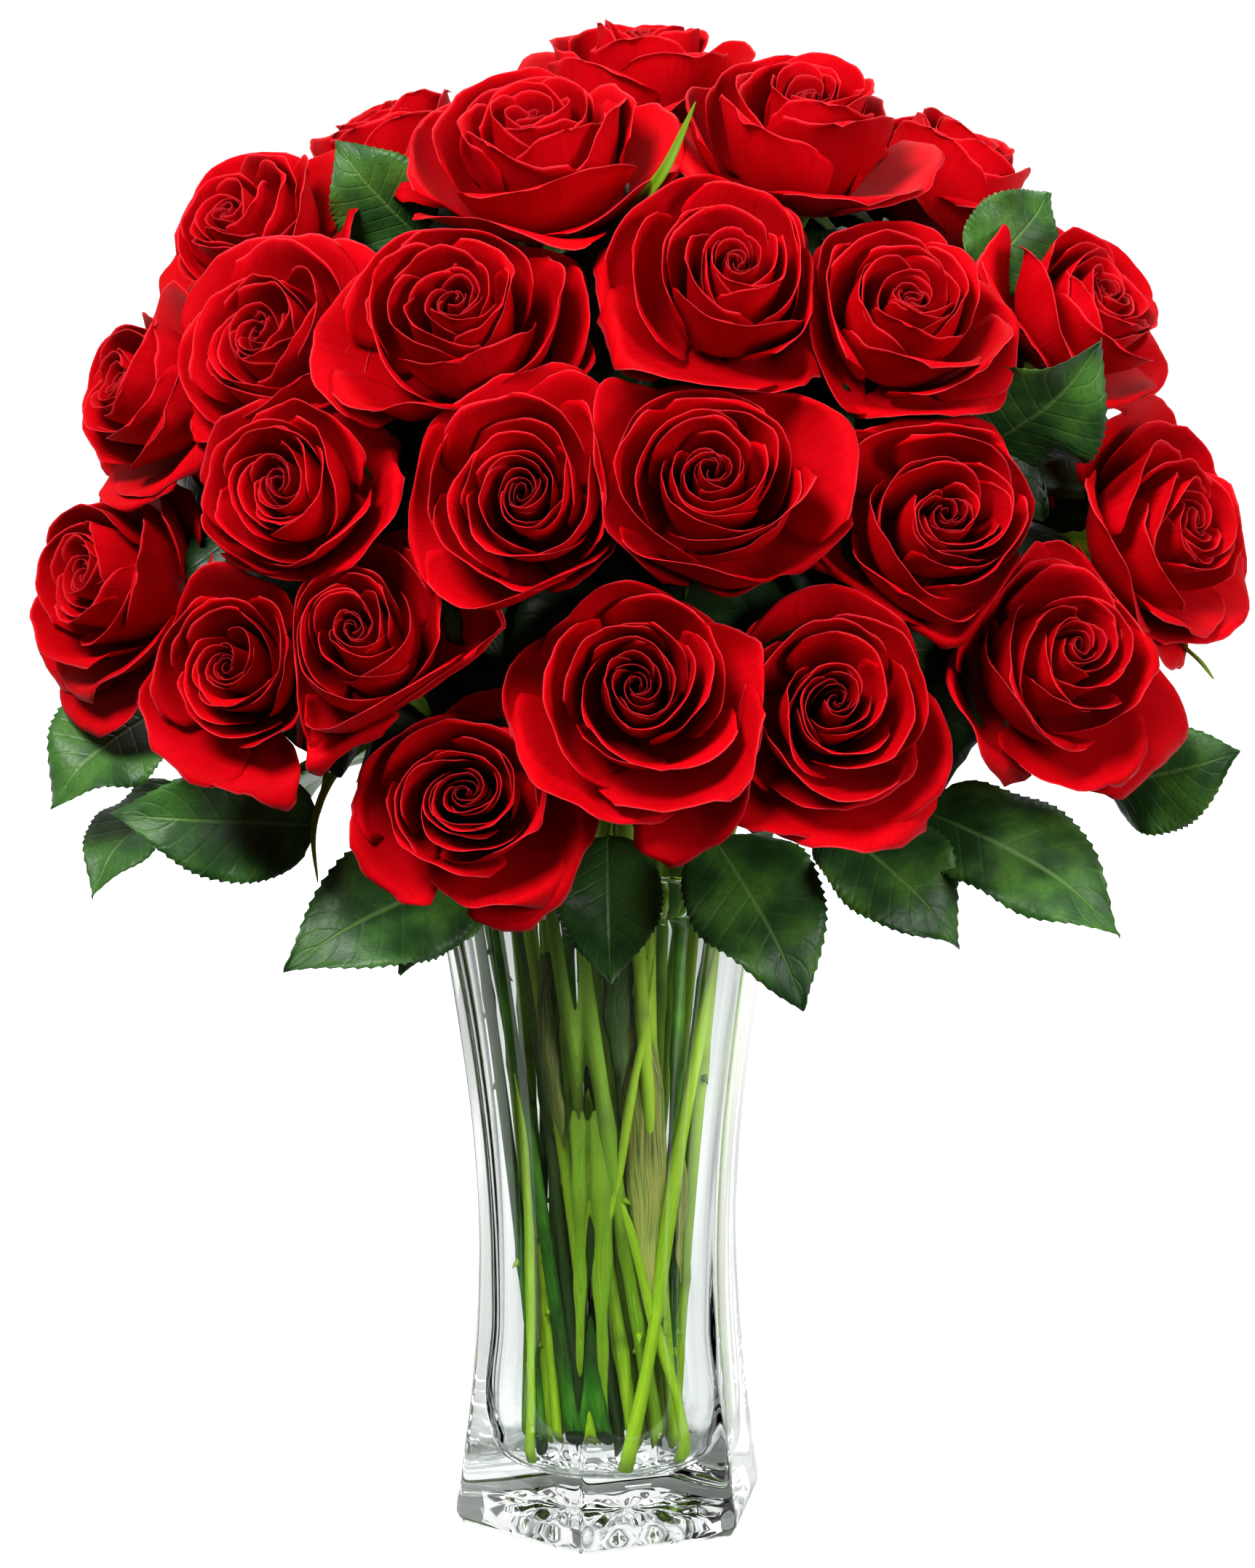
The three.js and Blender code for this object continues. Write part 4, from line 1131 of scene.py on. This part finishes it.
def turned(name, rings, material, node):
    """A closed body of rings, with v from 0 to 1 along them, in place of a named solid."""
    shell = Shell()
    m, count = rings.shape[:2]
    shell.tube(rings, values_of(np.zeros((m, count)), np.linspace(0, 1, m)[:, None]))
    shell.build(name, [material], [node])


def round_ring(turn, radius, height):
    """The circle R cos a, R sin a at a height."""
    return np.column_stack([np.cos(turn) * radius, np.sin(turn) * radius,
                            np.full(len(turn), height)])


def vase():
    """The outside up its hexagon, over a rounded rim and down the round bore to its floor; the
    underside is a low dome with a star of rays, s (cos nA + 0.6 cos r/2.6) sin(pi r/43)."""
    turn = np.radians(hex_angles() + VASE_TURN - 90)
    under = np.concatenate([[1.5], np.arange(4, DOME_RADIUS, 3), [DOME_RADIUS]])
    dome = FOOT_DOME * (1 - (under / DOME_RADIUS) ** 2)
    foot = len(under) + 3
    z = np.concatenate([dome, [0, 0.5, 2], np.linspace(5, VASE_HEIGHT - 1.5, 60),
                        [VASE_HEIGHT - 0.4, VASE_HEIGHT]])
    radius = eased(VASE_OUTSIDE, z)
    radius[:foot] = [*under, 56.6, 57.8, 58.8]  # the lower edge of the foot is rounded
    radius[-2:] -= 0.4, 1.6  # and so is the rim
    outside = [np.column_stack([hexagon(r), np.full(len(turn), h)]) for h, r in zip(z, radius)]
    lobes = np.cos(STAR_POINTS * turn)
    for ring, r in zip(outside, under):
        ring[:, 2] += (STAR_RELIEF * (lobes + 0.6 * np.cos(r / 2.6))
                       * np.sin(np.pi * r / DOME_RADIUS))
    zb = np.concatenate([[VASE_HEIGHT, VASE_HEIGHT - 0.4], np.linspace(VASE_HEIGHT - 1.5, 36, 60),
                         BORE_FLOOR[::-1, 0]])
    rb = eased(VASE_BORE, zb)
    rb[:2] += 1.4, 0.4
    rb[-len(BORE_FLOOR):] = BORE_FLOOR[::-1, 2]
    bore = [round_ring(turn, r, h) for h, r in zip(zb, rb)]
    turned("vase_glass", np.array(outside + bore), GLASS, "vase")


def water():
    """Fills the bore, a hair into the glass so that no air shows between, with a meniscus."""
    turn = np.linspace(0, 2 * np.pi, 96, endpoint=False)
    z = np.concatenate([BORE_FLOOR[:, 1], np.linspace(36, WATER_LEVEL, 50)])
    r = eased(VASE_BORE, z)
    r[:len(BORE_FLOOR)] = BORE_FLOOR[:, 2]
    r = r + WATER_OVERLAP
    edge = r[-1]
    z = np.concatenate([z, WATER_LEVEL + vec(0.5, 0.1, -0.2, -0.3)])
    r = np.concatenate([r, edge - vec(0.3, 1.5, 4, 12)])
    rings = np.stack([round_ring(turn, a, h) for h, a in zip(z, r)])
    turned("water_body", rings, WATER, "water")


vase()
water()


# Floor, light and camera
FLOOR_FRONT = 0.08
FLOOR_RADII = (0.4, 1.2, 4.0, 12.0)
FOOT_SHADE = (0.0020, 0.0070)  # x^2 + y^2 where the painted shadow under the foot starts to fade and ends
THROUGH_GLASS = 0.38  # how much darker the floor is painted where it is seen through glass
WHITE, BLACK = (1.0, 1.0, 1.0), (0.0, 0.0, 0.0)
# place, aim, width, power
LAMPS = [
    ("key", (-0.7, -1.5, 1.7), (0, 0, 0.4), 0.7, 68),
    ("fill", (1.3, -1.3, 0.7), (0, 0, 0.35), 0.8, 24),
    ("back", (0.2, 0.9, 1.8), (0, 0.2, 0.4), 1.2, 16),
]


def floor():
    """A wide pale round floor at z = 0 that glows a little, so that it meets the white of the
    studio without an edge. It ends a little way in front of the vase, so that the glass
    mirrors the dark side of the studio there. A painted shadow darkens it under the foot for all
    but camera rays, and it is painted dimmer where it is seen through glass, so that the foot
    stands out from it."""
    turn = np.linspace(0, 2 * np.pi, 64, endpoint=False)
    radius = np.array(FLOOR_RADII)[:, None]
    middle = FLOOR_RADII[-1] - FLOOR_FRONT
    level = np.zeros((len(radius), len(turn)))
    ring = np.stack([radius * np.cos(turn), radius * np.sin(turn) + middle, level], -1)
    k = np.arange(ring.size // 3).reshape(len(radius), -1)
    after = np.roll(k, -1, axis=1)
    faces = np.stack([k[:-1], k[1:], after[1:], after[:-1]], -1).reshape(-1, 4).tolist()
    mesh = bpy.data.meshes.new("floor")
    mesh.from_pydata(ring.reshape(-1, 3).tolist(), [], faces + [k[0].tolist()])
    look = Look("pale_floor", Roughness=0.9, Emission_Strength=0.62)
    grain = look.noise(look.at(), 30.0, 2.0)
    x, y, _ = look.split(look.at())
    path = look.node("LightPath")
    seen, through = look.wire(path, "Is Camera Ray"), look.wire(path, "Is Transmission Ray")
    # painted shadow: dark under the foot for every ray but the camera's
    under = (1 - (x * x + y * y).step(*FOOT_SHADE)) * (1 - seen)
    pale = look.mix(grain, (0.86, 0.86, 0.86), (0.90, 0.90, 0.90))
    glow = look.mix(seen, (0.80, 0.80, 0.80), WHITE)
    # painted shade: the floor is darker where it is seen through glass
    pale = look.mix(through * THROUGH_GLASS, pale, BLACK)
    glow = look.mix(through * THROUGH_GLASS, glow, BLACK)
    # the painted shadow under the foot, in colour and in glow
    look.feed("Base Color", look.mix(under * 0.9, pale, (0.06, 0.07, 0.06)))
    look.feed("Emission Color", look.mix(under * 0.95, glow, BLACK))
    mesh.materials.append(look.material)
    obj = bpy.data.objects.new("floor", mesh)
    bpy.context.scene.collection.objects.link(obj)


def place(obj, at, aim):
    """Puts a lamp or the camera at a place, its own -Z toward its aim."""
    bpy.context.scene.collection.objects.link(obj)
    obj.location = at
    obj.rotation_euler = (Vector(aim) - Vector(at)).to_track_quat("-Z", "Y").to_euler()


def area_light(name, at, aim, size, power):
    """A round white lamp of a width in metres and a power in watts."""
    light = bpy.data.lights.new(name, "AREA")
    light.shape, light.size, light.energy = "DISK", size, power
    place(bpy.data.objects.new(name, light), at, aim)


def studio():
    """White behind and overhead, dark in front, with a dark flag at either side that draws the
    edges of the glass; white where it is seen itself."""
    world = bpy.data.worlds.new("studio")
    bpy.context.scene.world = world
    world.use_nodes = True
    board = Board(world.node_tree)
    x, y, z = board.split(board.wire(board.node("TexCoord"), "Generated"))
    side, rise = x.math("ABSOLUTE"), z.math("ABSOLUTE")
    flag = side.step(0.62, 0.80) * (1 - side.step(0.90, 0.97)) * (1 - rise.step(0.3, 0.6))
    bar = side.step(0.25, 0.28) * (1 - side.step(0.40, 0.44))
    dark = flag.math("MAXIMUM", bar * 0.85)
    open_sky = (y.step(0.0, 0.45) * 0.95 + 0.05).math("MAXIMUM", z.step(0.3, 0.8) * 0.7)
    seen = board.wire(board.node("LightPath"), "Is Camera Ray")
    strength = (open_sky * (1 - dark * 0.95)).math("MAXIMUM", seen)
    background = world.node_tree.nodes["Background"]
    background.inputs["Color"].default_value = (1, 1, 1, 1)
    board.join(strength, background.inputs["Strength"])


floor()
for lamp in LAMPS:
    area_light(*lamp)
studio()
bpy.context.scene.view_settings.view_transform = "Standard"

camera = bpy.data.cameras.new("camera")
camera.lens, camera.sensor_width = CAMERA_LENS, 36
camera.clip_start, camera.clip_end = 0.05, 50
view = bpy.data.objects.new("camera", camera)
place(view, CAMERA_AT, CAMERA_AIM)
bpy.context.scene.camera = view
